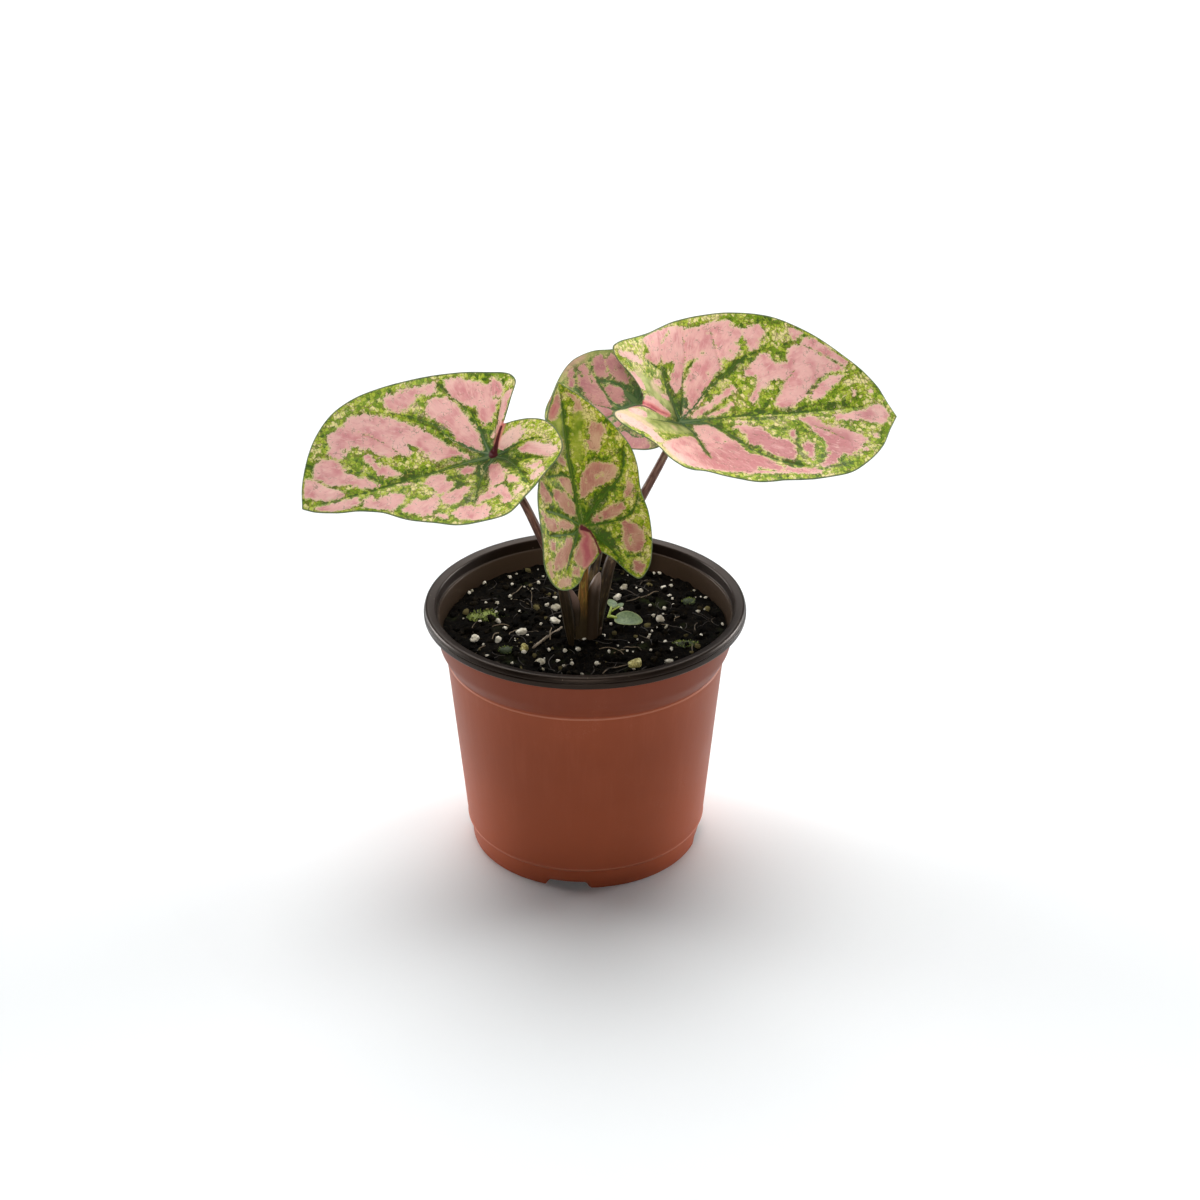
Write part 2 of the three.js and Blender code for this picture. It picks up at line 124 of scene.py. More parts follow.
def smooth_step(values, low, high):
    share = np.clip((values - low) / (high - low), 0, 1)
    return share * share * (3 - 2 * share)


def reach_inside(spots, strokes):
    """How far each spot lies inside the widest of the strokes, negative outside.

    A stroke is a chain of stations (u, v, half width)."""
    best = np.full(len(spots), -FAR)
    for stroke in strokes:
        stations = np.array(stroke, float)
        if len(stations) == 1:
            stations = np.repeat(stations, 2, axis=0)
        for start, end in zip(stations[:-1], stations[1:]):
            step = end[:2] - start[:2]
            share = ((spots - start[:2]) @ step) / max(step @ step, 1e-9)
            share = np.clip(share, 0, 1)
            gap = np.hypot(*(spots - start[:2] - share[:, None] * step).T)
            best = np.maximum(best, start[2] + (end[2] - start[2]) * share - gap)
    return best


def reach_within(spots, outlines):
    """How far each spot lies inside the closed outlines, negative outside."""
    best = np.full(len(spots), -FAR)
    for outline in outlines:
        corners = np.array(outline, float)
        near = np.all((spots > corners.min(axis=0) - 6) & (spots < corners.max(axis=0) + 6), axis=1)
        here = spots[near]
        gap = np.full(len(here), FAR)
        inside = np.zeros(len(here), bool)
        for start, end in zip(corners, np.roll(corners, -1, axis=0)):
            step = end - start
            share = np.clip(((here - start) @ step) / (step @ step), 0, 1)
            gap = np.minimum(gap, np.hypot(*(here - start - share[:, None] * step).T))
            spans = (start[1] > here[:, 1]) != (end[1] > here[:, 1])
            rise = step[1] if step[1] else 1e-9
            inside ^= spans & (here[:, 0] < start[0] + (here[:, 1] - start[1]) * step[0] / rise)
        best[near] = np.maximum(best[near], np.where(inside, gap, -gap))
    return best


# ---- Curves and rods ----


def smooth_curve(stations, count, spacing=3):
    """Even steps along a centripetal curve. The first "spacing" numbers of a station are its place."""
    knots = np.array(stations, float)
    knots = np.vstack([2 * knots[0] - knots[1], knots, 2 * knots[-1] - knots[-2]])
    fine = []
    for i in range(1, len(knots) - 2):
        near = knots[i - 1 : i + 3]
        gaps = np.linalg.norm(np.diff(near[:, :spacing], axis=0), axis=1) ** 0.5
        gaps[1] = max(gaps[1], 1e-4)
        before, here, after = np.where(gaps < 1e-4, gaps[1], gaps)
        first, second, third = np.diff(near, axis=0)
        leave = first / before - (near[2] - near[0]) / (before + here) + second / here
        arrive = second / here - (near[3] - near[1]) / (here + after) + third / after
        t = np.linspace(0, 1, 60, endpoint=i == len(knots) - 3)[:, None]
        square = 3 * second - here * (2 * leave + arrive)
        cubic = -2 * second + here * (leave + arrive)
        fine.append(near[1] + here * leave * t + square * t**2 + cubic * t**3)
    fine = np.vstack(fine)
    along = np.r_[0, np.cumsum(np.linalg.norm(np.diff(fine[:, :spacing], axis=0), axis=1))]
    wanted = np.linspace(0, along[-1], count)
    return np.stack([np.interp(wanted, along, column) for column in fine.T], axis=1)


def ring_faces(rings, spokes, first=0, closed=True):
    """Quads between successive rings of "spokes" points each."""
    here = np.arange(rings - 1)[:, None] * spokes + first
    spoke = np.arange(spokes if closed else spokes - 1)[None, :]
    after = (spoke + 1) % spokes
    quads = [here + spoke, here + after, here + spokes + after, here + spokes + spoke]
    return np.stack(quads, axis=-1).reshape(-1, 4).tolist()


def turned(points, angle, first=0, second=1):
    """Points turned by an angle from the first axis towards the second."""
    made = points.copy()
    made[:, first] = points[:, first] * np.cos(angle) - points[:, second] * np.sin(angle)
    made[:, second] = points[:, first] * np.sin(angle) + points[:, second] * np.cos(angle)
    return made


class Shape:
    """Points in millimetres with faces, and values that the materials read."""

    def __init__(self, points, faces, **values):
        self.points = np.asarray(points, float)
        self.faces = faces
        self.values = values


def join_shapes(shapes):
    points, faces, start = [], [], 0
    for shape in shapes:
        points.append(shape.points)
        faces.extend([[index + start for index in face] for face in shape.faces])
        start += len(shape.points)
    names = shapes[0].values
    values = {name: np.concatenate([shape.values[name] for shape in shapes]) for name in names}
    return Shape(np.vstack(points), faces, **values)


def rod(stations, sides, steps, form=None, tone=0.5):
    """A bent, tapering rod with rounded ends. form(angles, along) gives the share of the radius."""
    line = smooth_curve(stations, steps)
    middle, radius = line[:, :3], line[:, 3]
    ahead = np.gradient(middle, axis=0)
    ahead /= np.linalg.norm(ahead, axis=1)[:, None]
    along = np.r_[0, np.cumsum(np.linalg.norm(np.diff(middle, axis=0), axis=1))]
    start_cap = [(-np.sin(a), np.cos(a)) for a in np.radians((86, 60, 30))]
    end_cap = [(-back, share) for back, share in start_cap[::-1]]
    caps = {0: start_cap + [(0, 1)], len(middle) - 1: [(0, 1)] + end_cap}
    angles = np.arange(sides) * FULL_TURN / sides
    side = np.cross(ahead[0], (0.2, 1, 0.1))
    points, places, rise = [], [], []
    for i, here in enumerate(middle):
        side = side - (side @ ahead[i]) * ahead[i]
        side /= np.linalg.norm(side)
        other = np.cross(ahead[i], side)
        for forward, share in caps.get(i, [(0, 1)]):
            swell = radius[i] * share * (form(angles, along[i] / along[-1]) if form else 1)
            across, aside = np.cos(angles) * swell, np.sin(angles) * swell
            centre = here + ahead[i] * forward * radius[i]
            points.append(centre + across[:, None] * side + aside[:, None] * other)
            places.append(np.stack([across, aside, np.full(sides, along[i])], axis=1))
            rise.append(np.full(sides, along[i] / along[-1]))
    rings = len(points)
    ends = [list(range(sides))[::-1], list(range((rings - 1) * sides, rings * sides))]
    values = dict(place=np.vstack(places), rise=np.concatenate(rise), tone=np.full(rings * sides, tone))
    return Shape(np.vstack(points), ring_faces(rings, sides) + ends, **values)


ball_stock = {}


def unit_ball(level):
    if level not in ball_stock:
        made = bmesh.new()
        bmesh.ops.create_icosphere(made, subdivisions=level, radius=1)
        points = np.array([vertex.co for vertex in made.verts])
        ball_stock[level] = (points, [[vertex.index for vertex in face.verts] for face in made.faces])
        made.free()
    return ball_stock[level]


def pebble(centre, half_sizes, turn, seed, level, dents):
    """An irregular lump: a ball pressed out of round and then stretched to its half sizes."""
    ball, faces = unit_ball(level)
    layers = [(0.9, dents), (0.45, dents * 0.5), (0.22, dents * 0.22)]
    pressed = ball * (1 + roughness_of(ball + seed * 3.7, layers, seed))[:, None]
    pressed = pressed * np.array(half_sizes)
    values = dict(place=pressed, rise=(ball[:, 2] + 1) / 2, tone=np.full(len(ball), chance.random()))
    return Shape(turned(pressed, turn) + np.array(centre), faces, **values)


# ---- Making pieces ----


def make_piece(name, shape, materials, replaces=(), face_materials=None):
    mesh = bpy.data.meshes.new(name)
    points = (shape.points + POT_AXIS) * MM
    mesh.from_pydata(points, [], shape.faces)
    for label, values in shape.values.items():
        kind, field = ("FLOAT", "value") if values.ndim == 1 else ("FLOAT_VECTOR", "vector")
        layer = mesh.attributes.new(label, kind, "POINT")
        layer.data.foreach_set(field, values.astype(np.float32).ravel())
    for finish in materials:
        mesh.materials.append(finish)
    if face_materials is not None:
        mesh.polygons.foreach_set("material_index", np.asarray(face_materials, np.int32))
    mesh.polygons.foreach_set("use_smooth", np.ones(len(mesh.polygons), bool))
    mesh.update()
    piece = bpy.data.objects.new(name, mesh)
    bpy.context.scene.collection.objects.link(piece)
    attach(piece, "root")
    if replaces:
        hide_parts(*replaces)
    return piece


# ---- Shader boards ----


class Board:
    """Lays nodes on one tree. Inputs are given as sockets or as plain values."""

    def __init__(self, tree):
        self.tree = tree

    def put(self, socket, value):
        if isinstance(value, bpy.types.NodeSocket):
            self.tree.links.new(value, socket)
        else:
            socket.default_value = value

    def node(self, kind, inputs=None, **settings):
        made = self.tree.nodes.new(kind)
        for name, value in settings.items():
            setattr(made, name, value)
        for key, value in (inputs or {}).items():
            self.put(made.inputs[key], value)
        return made

    def math(self, operation, *values):
        return self.node("ShaderNodeMath", dict(enumerate(values)), operation=operation).outputs[0]

    def times(self, first, second):
        return self.math("MULTIPLY", first, second)

    def total(self, *values):
        """Sum of sockets and numbers, each alone or as (socket, factor)."""
        result = 0.0
        for value in values:
            if isinstance(value, tuple):
                result = self.math("MULTIPLY_ADD", *value, result)
            else:
                result = self.math("ADD", value, result)
        return result

    def step(self, value, low, high, start=0.0, end=1.0):
        inputs = {0: value, 1: low, 2: high, 3: start, 4: end}
        return self.node("ShaderNodeMapRange", inputs, interpolation_type="SMOOTHSTEP").outputs[0]

    def mix(self, amount, low, high):
        made = self.node("ShaderNodeMix", data_type="RGBA")
        for socket, value in ((0, amount), (6, low), (7, high)):
            self.put(made.inputs[socket], value)
        return made.outputs[2]

    def stretch(self, place, factors):
        return self.node("ShaderNodeVectorMath", {0: place, 1: factors}, operation="MULTIPLY").outputs[0]

    def noise(self, place, size, detail, rough, twist=0.0, output=0):
        """Noise from 0 to 1 with features about "size" millimetres across. Output 1 is three noises."""
        scale = self.math("DIVIDE", 1.0, size) if isinstance(size, bpy.types.NodeSocket) else 1 / size
        inputs = {"Vector": place, "Scale": scale, "Detail": detail, "Roughness": rough, "Distortion": twist}
        return self.node("ShaderNodeTexNoise", inputs).outputs[output]

    def cells(self, place, size, feature="F1"):
        return self.node("ShaderNodeTexVoronoi", {"Vector": place, "Scale": 1 / size}, feature=feature)

    def value(self, name):
        return self.node("ShaderNodeAttribute", attribute_name=name).outputs["Fac"]

    def vector(self, name):
        return self.node("ShaderNodeAttribute", attribute_name=name).outputs["Vector"]

    def place(self):
        """Where the surface lies on its object, in millimetres."""
        spot = self.node("ShaderNodeTexCoord").outputs["Object"]
        return self.node("ShaderNodeVectorMath", {0: spot, "Scale": 1 / MM}, operation="SCALE").outputs[0]

    def height(self):
        return self.node("ShaderNodeSeparateXYZ", {0: self.place()}).outputs[2]

    def group(self, name, **inputs):
        """Places a node group. An underscore in an input's name stands for a space."""
        made = self.node("ShaderNodeGroup", node_tree=bpy.data.node_groups[name])
        for label, value in inputs.items():
            self.put(made.inputs[label.replace("_", " ")], value)
        return made.outputs


ORIGIN = (0.0, 0.0, 0.0)


def new_group(name, takes, gives):
    """A node group. takes maps each input to its default value, gives lists its outputs by name.

    Returns its board, its inputs by name and a function that fills its outputs."""
    tree = bpy.data.node_groups.new(name, "ShaderNodeTree")
    for label, value in takes.items():
        kind = "Float"
        if isinstance(value, tuple):
            kind = "Color" if len(value) == 4 else "Vector"
        socket = tree.interface.new_socket(label, in_out="INPUT", socket_type=f"NodeSocket{kind}")
        socket.default_value = value
    for label in gives:
        kind = "Color" if label == "Color" else "Float"
        tree.interface.new_socket(label, in_out="OUTPUT", socket_type=f"NodeSocket{kind}")
    board = Board(tree)
    outputs = board.node("NodeGroupOutput").inputs

    def give(**results):
        for label, value in results.items():
            board.put(outputs[label], value)

    return board, board.node("NodeGroupInput").outputs, give


def finish_material(name, lay, bump, **constants):
    """A material whose lay(board) gives Color, Roughness and Height. bump is its relief in millimetres."""
    made = bpy.data.materials.new(name)
    made.use_nodes = True
    board = Board(made.node_tree)
    shader = made.node_tree.nodes["Principled BSDF"]
    shade, rough, height = lay(board)
    board.put(shader.inputs["Base Color"], shade)
    board.put(shader.inputs["Roughness"], rough)
    relief = board.node("ShaderNodeBump", {"Height": height, "Distance": bump * MM, "Strength": 1.0})
    board.put(shader.inputs["Normal"], relief.outputs[0])
    for label, value in constants.items():
        shader.inputs[label.replace("_", " ")].default_value = value
    return made


# ---- Effects shared by several materials ----


def build_fine_grain():
    """Even moulded grain with faint cloudy mottling."""
    takes = {"Place": ORIGIN, "Grain Size": 0.5, "Cloud Size": 14.0}
    board, takes, give = new_group("fine_grain", takes, ["Grain", "Clouds"])
    give(
        Grain=board.noise(takes["Place"], takes["Grain Size"], 2, 0.6),
        Clouds=board.noise(takes["Place"], takes["Cloud Size"], 3, 0.55),
    )


def build_streaked_skin():
    """Skin of stalks and shoots: fine lengthwise streaks, blotches and pores."""
    board, takes, give = new_group(
        "streaked_skin",
        {
            "Place": ORIGIN,
            "Base": colour(90, 62, 50),
            "Streak": colour(58, 40, 32),
            "Blotch": colour(120, 96, 70),
            "Blotches": 0.5,
        },
        ["Color", "Height", "Roughness"],
    )
    streaks = board.noise(board.stretch(takes["Place"], (1.0, 1.0, 0.09)), 0.45, 3, 0.6)
    blotch = board.noise(board.stretch(takes["Place"], (1.0, 1.0, 0.35)), 1.7, 3, 0.6)
    spread = board.total(blotch, (takes["Blotches"], 0.5), -0.25)
    shade = board.mix(board.step(streaks, 0.38, 0.66), takes["Streak"], takes["Base"])
    shade = board.mix(board.step(spread, 0.5, 0.72), shade, takes["Blotch"])
    height = board.total((streaks, 0.7), (blotch, 0.3))
    give(Color=shade, Height=height, Roughness=board.total((streaks, 0.25), 0.36))


def build_peat_grain():
    """Peat and bark dust: dark crumbs with lighter specks and strands."""
    board, takes, give = new_group(
        "peat_grain",
        {
            "Place": ORIGIN,
            "Dark": colour(4, 3, 2),
            "Light": colour(28, 21, 11),
            "Speck": colour(104, 92, 70),
            "Lightness": 0.0,
        },
        ["Color", "Height", "Roughness"],
    )
    crumbs = board.noise(takes["Place"], 1.6, 4, 0.7)
    strands = board.noise(board.stretch(takes["Place"], (1.0, 0.25, 1.0)), 0.5, 2, 0.6, 1.2)
    dust = board.noise(takes["Place"], 0.32, 2, 0.6)
    level = board.total((crumbs, 0.65), (strands, 0.35), takes["Lightness"])
    bits = board.total((dust, 0.6), (strands, 0.4))
    shade = board.mix(board.step(level, 0.42, 0.78), takes["Dark"], takes["Light"])
    shade = board.mix(board.step(bits, 0.64, 0.72), shade, takes["Speck"])
    height = board.total((crumbs, 0.5), (strands, 0.3), (dust, 0.2))
    give(Color=shade, Height=height, Roughness=board.total((crumbs, -0.3), 0.95))


def build_leafy_skin():
    """Small green leaves: soft mottling between two greens, brighter where they are lifted."""
    board, takes, give = new_group(
        "leafy_skin",
        {"Place": ORIGIN, "Deep": colour(50, 84, 30), "Bright": colour(140, 160, 70), "Lift": 0.0},
        ["Color", "Height"],
    )
    mottle = board.noise(takes["Place"], 1.1, 3, 0.6)
    level = board.step(board.total(mottle, takes["Lift"]), 0.3, 0.75)
    give(Color=board.mix(level, takes["Deep"], takes["Bright"]), Height=mottle)


def build_caladium_paint():
    """Leaf colouring: pink patches with ragged edges over a green and cream speckle, with veins.

    The gaps are in millimetres: how far a spot lies inside a patch or vein, or from the margin."""
    board, takes, give = new_group(
        "caladium_paint",
        {
            "Place": ORIGIN,
            "Pink Gap": 0.0,
            "Vein Gap": 0.0,
            "Fringe Gap": 0.0,
            "Rim Gap": 5.0,
            "Pale": 0.0,
            "Calm": 0.0,
            "Red": 0.0,
            "Maroon": 0.0,
            "Deep": 0.0,
            "Stalk Gap": 20.0,
            "Fan": ORIGIN,
            "Edge": 0.12,
            "Pink": colour(234, 180, 172),
            "Deep Pink": colour(212, 140, 140),
            "Light Pink": colour(240, 202, 188),
            "Painted Shade Pink": colour(190, 118, 120),
            "Dark Green": colour(64, 92, 22),
            "Green": colour(116, 148, 24),
            "Bright Green": colour(176, 190, 60),
            "Cream": colour(232, 220, 152),
            "Thread": colour(96, 82, 40),
            "Beige": colour(226, 198, 164),
            "Calm Deep": colour(134, 148, 72),
            "Calm Light": colour(196, 202, 128),
            "Vein": colour(66, 96, 62),
            "Margin": colour(84, 98, 66),
            "Flush": colour(226, 130, 122),
            "Wine": colour(176, 52, 70),
            "Sinus": colour(78, 28, 32),
        },
        ["Color", "Height", "Roughness"],
    )
    spot = takes["Place"]
    broad = board.noise(spot, 4.5, 2, 0.5)
    coarse = board.noise(spot, 1.7, 3, 0.6, 0.5)
    fine = board.noise(spot, 0.55, 3, 0.65, 0.4)
    streaks = board.noise(takes["Fan"], 1.0, 3, 0.6)
    hairs = board.noise(board.stretch(takes["Fan"], (3.4, 3.0, 1.0)), 1.0, 3, 0.65, 0.6)
    wobble = board.stretch(board.noise(spot, 1.2, 2, 0.6, output=1), (1.3, 1.3, 0.0))
    bent = board.node("ShaderNodeVectorMath", {0: spot, 1: wobble}).outputs[0]
    cells = board.cells(bent, 1.15)
    cell_tone = board.node("ShaderNodeSeparateColor", {0: cells.outputs["Color"]}).outputs[0]
    cell_edge = board.cells(bent, 1.15, "DISTANCE_TO_EDGE").outputs[0]

    near_rim = board.step(takes["Rim Gap"], 0.0, 1.4, 1.2, 0.0)
    ragged = board.total((coarse, 1.6), (fine, 1.5), (cell_tone, 0.8), (near_rim, -1.0))
    patch = board.total(takes["Pink Gap"], ragged, -1.75)
    in_vein = board.total(takes["Vein Gap"], (fine, 1.3), (coarse, 0.9), -1.25)
    vein_mask = board.step(in_vein, -0.15, 0.12)
    in_fringe = board.total(takes["Fringe Gap"], (coarse, 1.8), (fine, 1.8), (hairs, 2.4), -3.1)
    fringe_mask = board.step(in_fringe, -0.3, 0.4)
    free = board.math("SUBTRACT", 1.0, board.math("MAXIMUM", vein_mask, fringe_mask))
    blush_mask = board.times(board.step(board.math("DIVIDE", patch, takes["Edge"]), -1.0, 1.0), free)

    near_stalk = board.step(takes["Stalk Gap"], 3.0, 15.0, 1.0, 0.0)
    level = board.total((cell_tone, 0.45), (fine, 0.5), (coarse, 0.6), (broad, 0.6), -0.555)
    level = board.total(level, (fringe_mask, -0.26), (takes["Pale"], 0.16), (near_stalk, -0.16))
    ground = board.mix(board.step(level, 0.2, 0.36), takes["Dark Green"], takes["Green"])
    ground = board.mix(board.step(level, 0.4, 0.54), ground, takes["Bright Green"])
    ground = board.mix(board.step(level, 0.6, 0.74), ground, takes["Cream"])
    warmth = board.total((broad, 0.5), (fine, 0.5))
    ground = board.mix(board.step(warmth, 0.52, 0.64, 0.0, 0.4), ground, takes["Beige"])
    net = board.times(board.step(cell_edge, 0.0, 0.15, 0.75, 0.0), board.step(coarse, 0.36, 0.6, 0.2, 1.0))
    ground = board.mix(net, ground, takes["Thread"])
    ground = board.mix(board.times(near_stalk, 0.45), ground, takes["Vein"])
    mellow = board.mix(board.step(broad, 0.3, 0.66), takes["Calm Deep"], takes["Calm Light"])
    mellow = board.mix(takes["Pale"], mellow, takes["Beige"])
    ground = board.mix(board.times(takes["Calm"], 0.85), ground, mellow)

    blush = board.mix(board.step(broad, 0.4, 0.7), takes["Pink"], takes["Deep Pink"])
    blush = board.mix(board.step(coarse, 0.5, 0.75, 0.0, 0.45), blush, takes["Light Pink"])
    blush = board.mix(board.times(takes["Pale"], 0.8), blush, takes["Light Pink"])
    # Painted shade: where the Deep mask is set, the pink is darkened towards Painted Shade Pink.
    blush = board.mix(board.times(takes["Deep"], 0.85), blush, takes["Painted Shade Pink"])
    blush = board.mix(board.step(streaks, 0.52, 0.78, 0.0, 0.5), blush, takes["Light Pink"])
    blush = board.mix(board.step(hairs, 0.54, 0.7, 0.0, 0.6), blush, takes["Light Pink"])
    blush = board.mix(board.step(hairs, 0.3, 0.46, 0.55, 0.0), blush, takes["Deep Pink"])
    cracks = board.times(board.step(cell_edge, 0.0, 0.1, 0.6, 0.0), board.step(coarse, 0.52, 0.66))
    blush = board.mix(cracks, blush, takes["Thread"])
    blush = board.mix(board.step(patch, 0.1, 0.75, 0.75, 0.0), blush, takes["Beige"])
    shade = board.mix(blush_mask, ground, blush)

    off_edge = board.math("ABSOLUTE", board.total(patch, 0.3))
    outline = board.mix(board.step(coarse, 0.42, 0.52), takes["Cream"], takes["Thread"])
    calmed = board.step(takes["Calm"], 0.0, 1.0, 0.6, 0.1)
    shade = board.mix(board.times(board.step(off_edge, 0.05, 0.35, 1.0, 0.0), calmed), shade, outline)
    from_middle = board.total(takes["Stalk Gap"], (coarse, 12.0))
    rib = board.mix(board.step(from_middle, 8.0, 22.0), takes["Vein"], takes["Dark Green"])
    rib = board.mix(board.step(takes["Vein Gap"], 0.28, 0.42, 0.0, 0.16), rib, takes["Calm Light"])
    shade = board.mix(vein_mask, shade, rib)

    rim_line = board.step(board.total(takes["Rim Gap"], (coarse, 0.3), -0.15), 0.2, 0.5, 0.9, 0.0)
    shade = board.mix(rim_line, shade, takes["Margin"])
    redness = board.times(takes["Red"], board.total((coarse, 0.9), (hairs, 0.7), 0.2))
    shade = board.mix(board.step(redness, 0.0, 0.45, 0.0, 0.75), shade, takes["Flush"])
    shade = board.mix(board.step(redness, 0.35, 0.95, 0.0, 0.9), shade, takes["Wine"])
    darkness = board.total(takes["Maroon"], (coarse, 0.5), -0.25)
    shade = board.mix(board.step(darkness, 0.2, 0.8), shade, takes["Sinus"])

    lowered = board.step(takes["Vein Gap"], -0.6, 0.2, 0.5, 0.0)
    height = board.total(lowered, (fine, 0.18), (cell_edge, 0.5))
    give(Color=shade, Height=height, Roughness=board.total((fine, 0.16), 0.4))


build_fine_grain()
build_streaked_skin()
build_peat_grain()
build_leafy_skin()
build_caladium_paint()

# ---- Materials ----


def lay_terracotta(board):
    grain = board.group("fine_grain", Place=board.place(), Grain_Size=0.55, Cloud_Size=16.0)
    flow = board.noise(board.stretch(board.place(), (1.0, 1.0, 0.12)), 3.5, 3, 0.6)
    shade = board.mix(grain["Clouds"], colour(130, 60, 32), colour(138, 66, 37))
    shade = board.mix(board.step(flow, 0.45, 0.75, 0.0, 0.14), shade, colour(164, 88, 62))
    height = board.height()
    # Painted shade: the collar above the ledge is darkened, as under the rim's overhang.
    shade = board.mix(board.step(height, LEDGE_HEIGHT, 70.0, 0.0, 0.62), shade, colour(98, 42, 23))
    # Painted light: the lower wall is lightened, standing in for light bounced up off the floor.
    shade = board.mix(board.step(height, 4.0, 55.0, 0.85, 0.0), shade, colour(164, 81, 50))
    # Painted highlight: thin light lines along the ledge and the foot step, where their edges would catch
    # the light.
    for line in (LEDGE_HEIGHT, FOOT_STEP_HEIGHT + 1.2):
        off_highlight_line = board.math("ABSOLUTE", board.math("SUBTRACT", height, line))
        shade = board.mix(board.step(off_highlight_line, 0.1, 0.45, 0.35, 0.0), shade, colour(214, 146, 120))
    dust = board.times(board.step(grain["Clouds"], 0.55, 0.75), board.step(grain["Grain"], 0.5, 0.7))
    shade = board.mix(board.times(dust, 0.07), shade, colour(196, 148, 128))
    rough = board.total((grain["Clouds"], 0.14), (grain["Grain"], 0.06), 0.36)
    return shade, rough, board.total((grain["Grain"], 0.5), (flow, 0.5))


def lay_black_plastic(board):
    grain = board.group("fine_grain", Place=board.place(), Grain_Size=0.4, Cloud_Size=9.0)
    shade = board.mix(grain["Clouds"], colour(14, 8, 5), colour(26, 17, 11))
    specks = board.cells(board.place(), 2.6).outputs[0]
    speck_mask = board.times(board.step(specks, 0.05, 0.09, 0.6, 0.0), board.step(grain["Clouds"], 0.5, 0.6))
    shade = board.mix(speck_mask, shade, colour(128, 116, 100))
    below_rim = board.step(board.height(), RIM_TOP - 4.3, RIM_TOP - 3.5, 1.0, 0.0)
    shade = board.mix(below_rim, shade, colour(58, 45, 34))
    rough = board.total((grain["Clouds"], 0.22), (grain["Grain"], 0.08), 0.22)
    return shade, rough, grain["Grain"]


def lay_soil(board):
    green = board.noise(board.place(), 11.0, 3, 0.6)
    grain = board.group("peat_grain", Place=board.place(), Lightness=-0.02)
    tint = board.times(board.step(green, 0.56, 0.74), 0.4)
    return board.mix(tint, grain["Color"], colour(44, 52, 24)), grain["Roughness"], grain["Height"]


def lay_crumbs(board):
    lightness = board.total((board.value("tone"), 0.30), -0.16)
    grain = board.group("peat_grain", Place=board.place(), Lightness=lightness, Light=colour(34, 28, 18))
    pale_bits = board.step(board.value("tone"), 0.86, 0.98)
    return board.mix(pale_bits, grain["Color"], colour(92, 84, 54)), grain["Roughness"], grain["Height"]


def streaked(board, base, streak, blotch, blotches, place=None):
    """Streaked skin in three colours, which runs along the piece unless another place is given."""
    return board.group(
        "streaked_skin",
        Place=place or board.vector("place"),
        Base=colour(*base),
        Streak=colour(*streak),
        Blotch=colour(*blotch),
        Blotches=blotches,
    )


def lay_fibres(board):
    skin = streaked(board, (52, 41, 29), (26, 20, 14), (104, 88, 66), board.value("tone"))
    return skin["Color"], board.total((skin["Roughness"], 0.5), 0.5), skin["Height"]


def lay_perlite(board):
    grain = board.group("fine_grain", Place=board.place(), Grain_Size=0.32, Cloud_Size=1.6)
    pits = board.cells(board.place(), 0.55).outputs[0]
    shade = board.mix(board.step(grain["Clouds"], 0.35, 0.7), colour(160, 152, 134), colour(228, 222, 206))
    shade = board.mix(board.step(board.value("tone"), 0.55, 1.0, 0.0, 0.75), shade, colour(122, 114, 90))
    # Browner and darker towards the foot of each grain.
    darker_below = board.times(board.step(board.value("rise"), 0.1, 0.6, 0.8, 0.0), grain["Clouds"])
    shade = board.mix(darker_below, shade, colour(96, 82, 62))
    return shade, board.total((pits, 0.2), 0.7), board.total((pits, 0.6), (grain["Grain"], 0.4))


def lay_bark(board):
    skin = streaked(board, (176, 164, 92), (110, 100, 48), (214, 206, 146), 0.55)
    return skin["Color"], board.total((skin["Roughness"], 0.5), 0.5), skin["Height"]


def lay_moss(board):
    skin = board.group(
        "leafy_skin",
        Place=board.place(),
        Deep=colour(34, 46, 14),
        Bright=colour(112, 124, 44),
        Lift=board.total((board.value("tone"), 0.5), (board.value("rise"), 0.25), -0.35),
    )
    return skin["Color"], 0.75, skin["Height"]


def lay_seedling(board):
    skin = board.group(
        "leafy_skin", Place=board.place(), Deep=colour(70, 92, 56), Bright=colour(112, 130, 84)
    )
    edge = board.step(board.value("rise"), 0.86, 1.0)
    shade = board.mix(edge, skin["Color"], colour(176, 186, 130))
    shade = board.mix(board.step(board.value("tone"), 0.6, 0.9), shade, colour(136, 150, 52))
    return shade, 0.5, skin["Height"]


def lay_stalk(board):
    """Brown-purple at the foot, greener and pinker towards the blade."""
    rise = board.value("rise")
    patches = board.noise(board.stretch(board.vector("place"), (1.0, 1.0, 0.12)), 2.2, 3, 0.6)
    height = board.total(rise, (patches, 0.3), -0.15)
    skin = board.group(
        "streaked_skin",
        Place=board.vector("place"),
        Base=board.mix(board.step(height, 0.36, 0.82), colour(50, 38, 21), colour(104, 74, 62)),
        Streak=board.mix(board.step(height, 0.36, 0.82), colour(29, 21, 10), colour(66, 40, 34)),
        Blotch=board.mix(board.step(height, 0.2, 0.75), colour(72, 62, 28), colour(126, 102, 82)),
        Blotches=board.value("tone"),
    )
    membrane = board.mix(board.step(rise, 0.25, 0.8), colour(50, 40, 28), colour(112, 90, 80))
    shade = board.mix(board.step(board.value("tone"), 1.2, 1.8), skin["Color"], membrane)
    return shade, skin["Roughness"], skin["Height"]


def lay_young_stalk(board):
    """Olive to orange, as the stalk of the small front leaf is."""
    skin = streaked(board, (134, 90, 42), (88, 68, 26), (140, 122, 52), 0.5)
    foot = board.step(board.value("rise"), 0.4, 0.58, 1.0, 0.0)
    return board.mix(foot, skin["Color"], colour(50, 39, 22)), skin["Roughness"], skin["Height"]


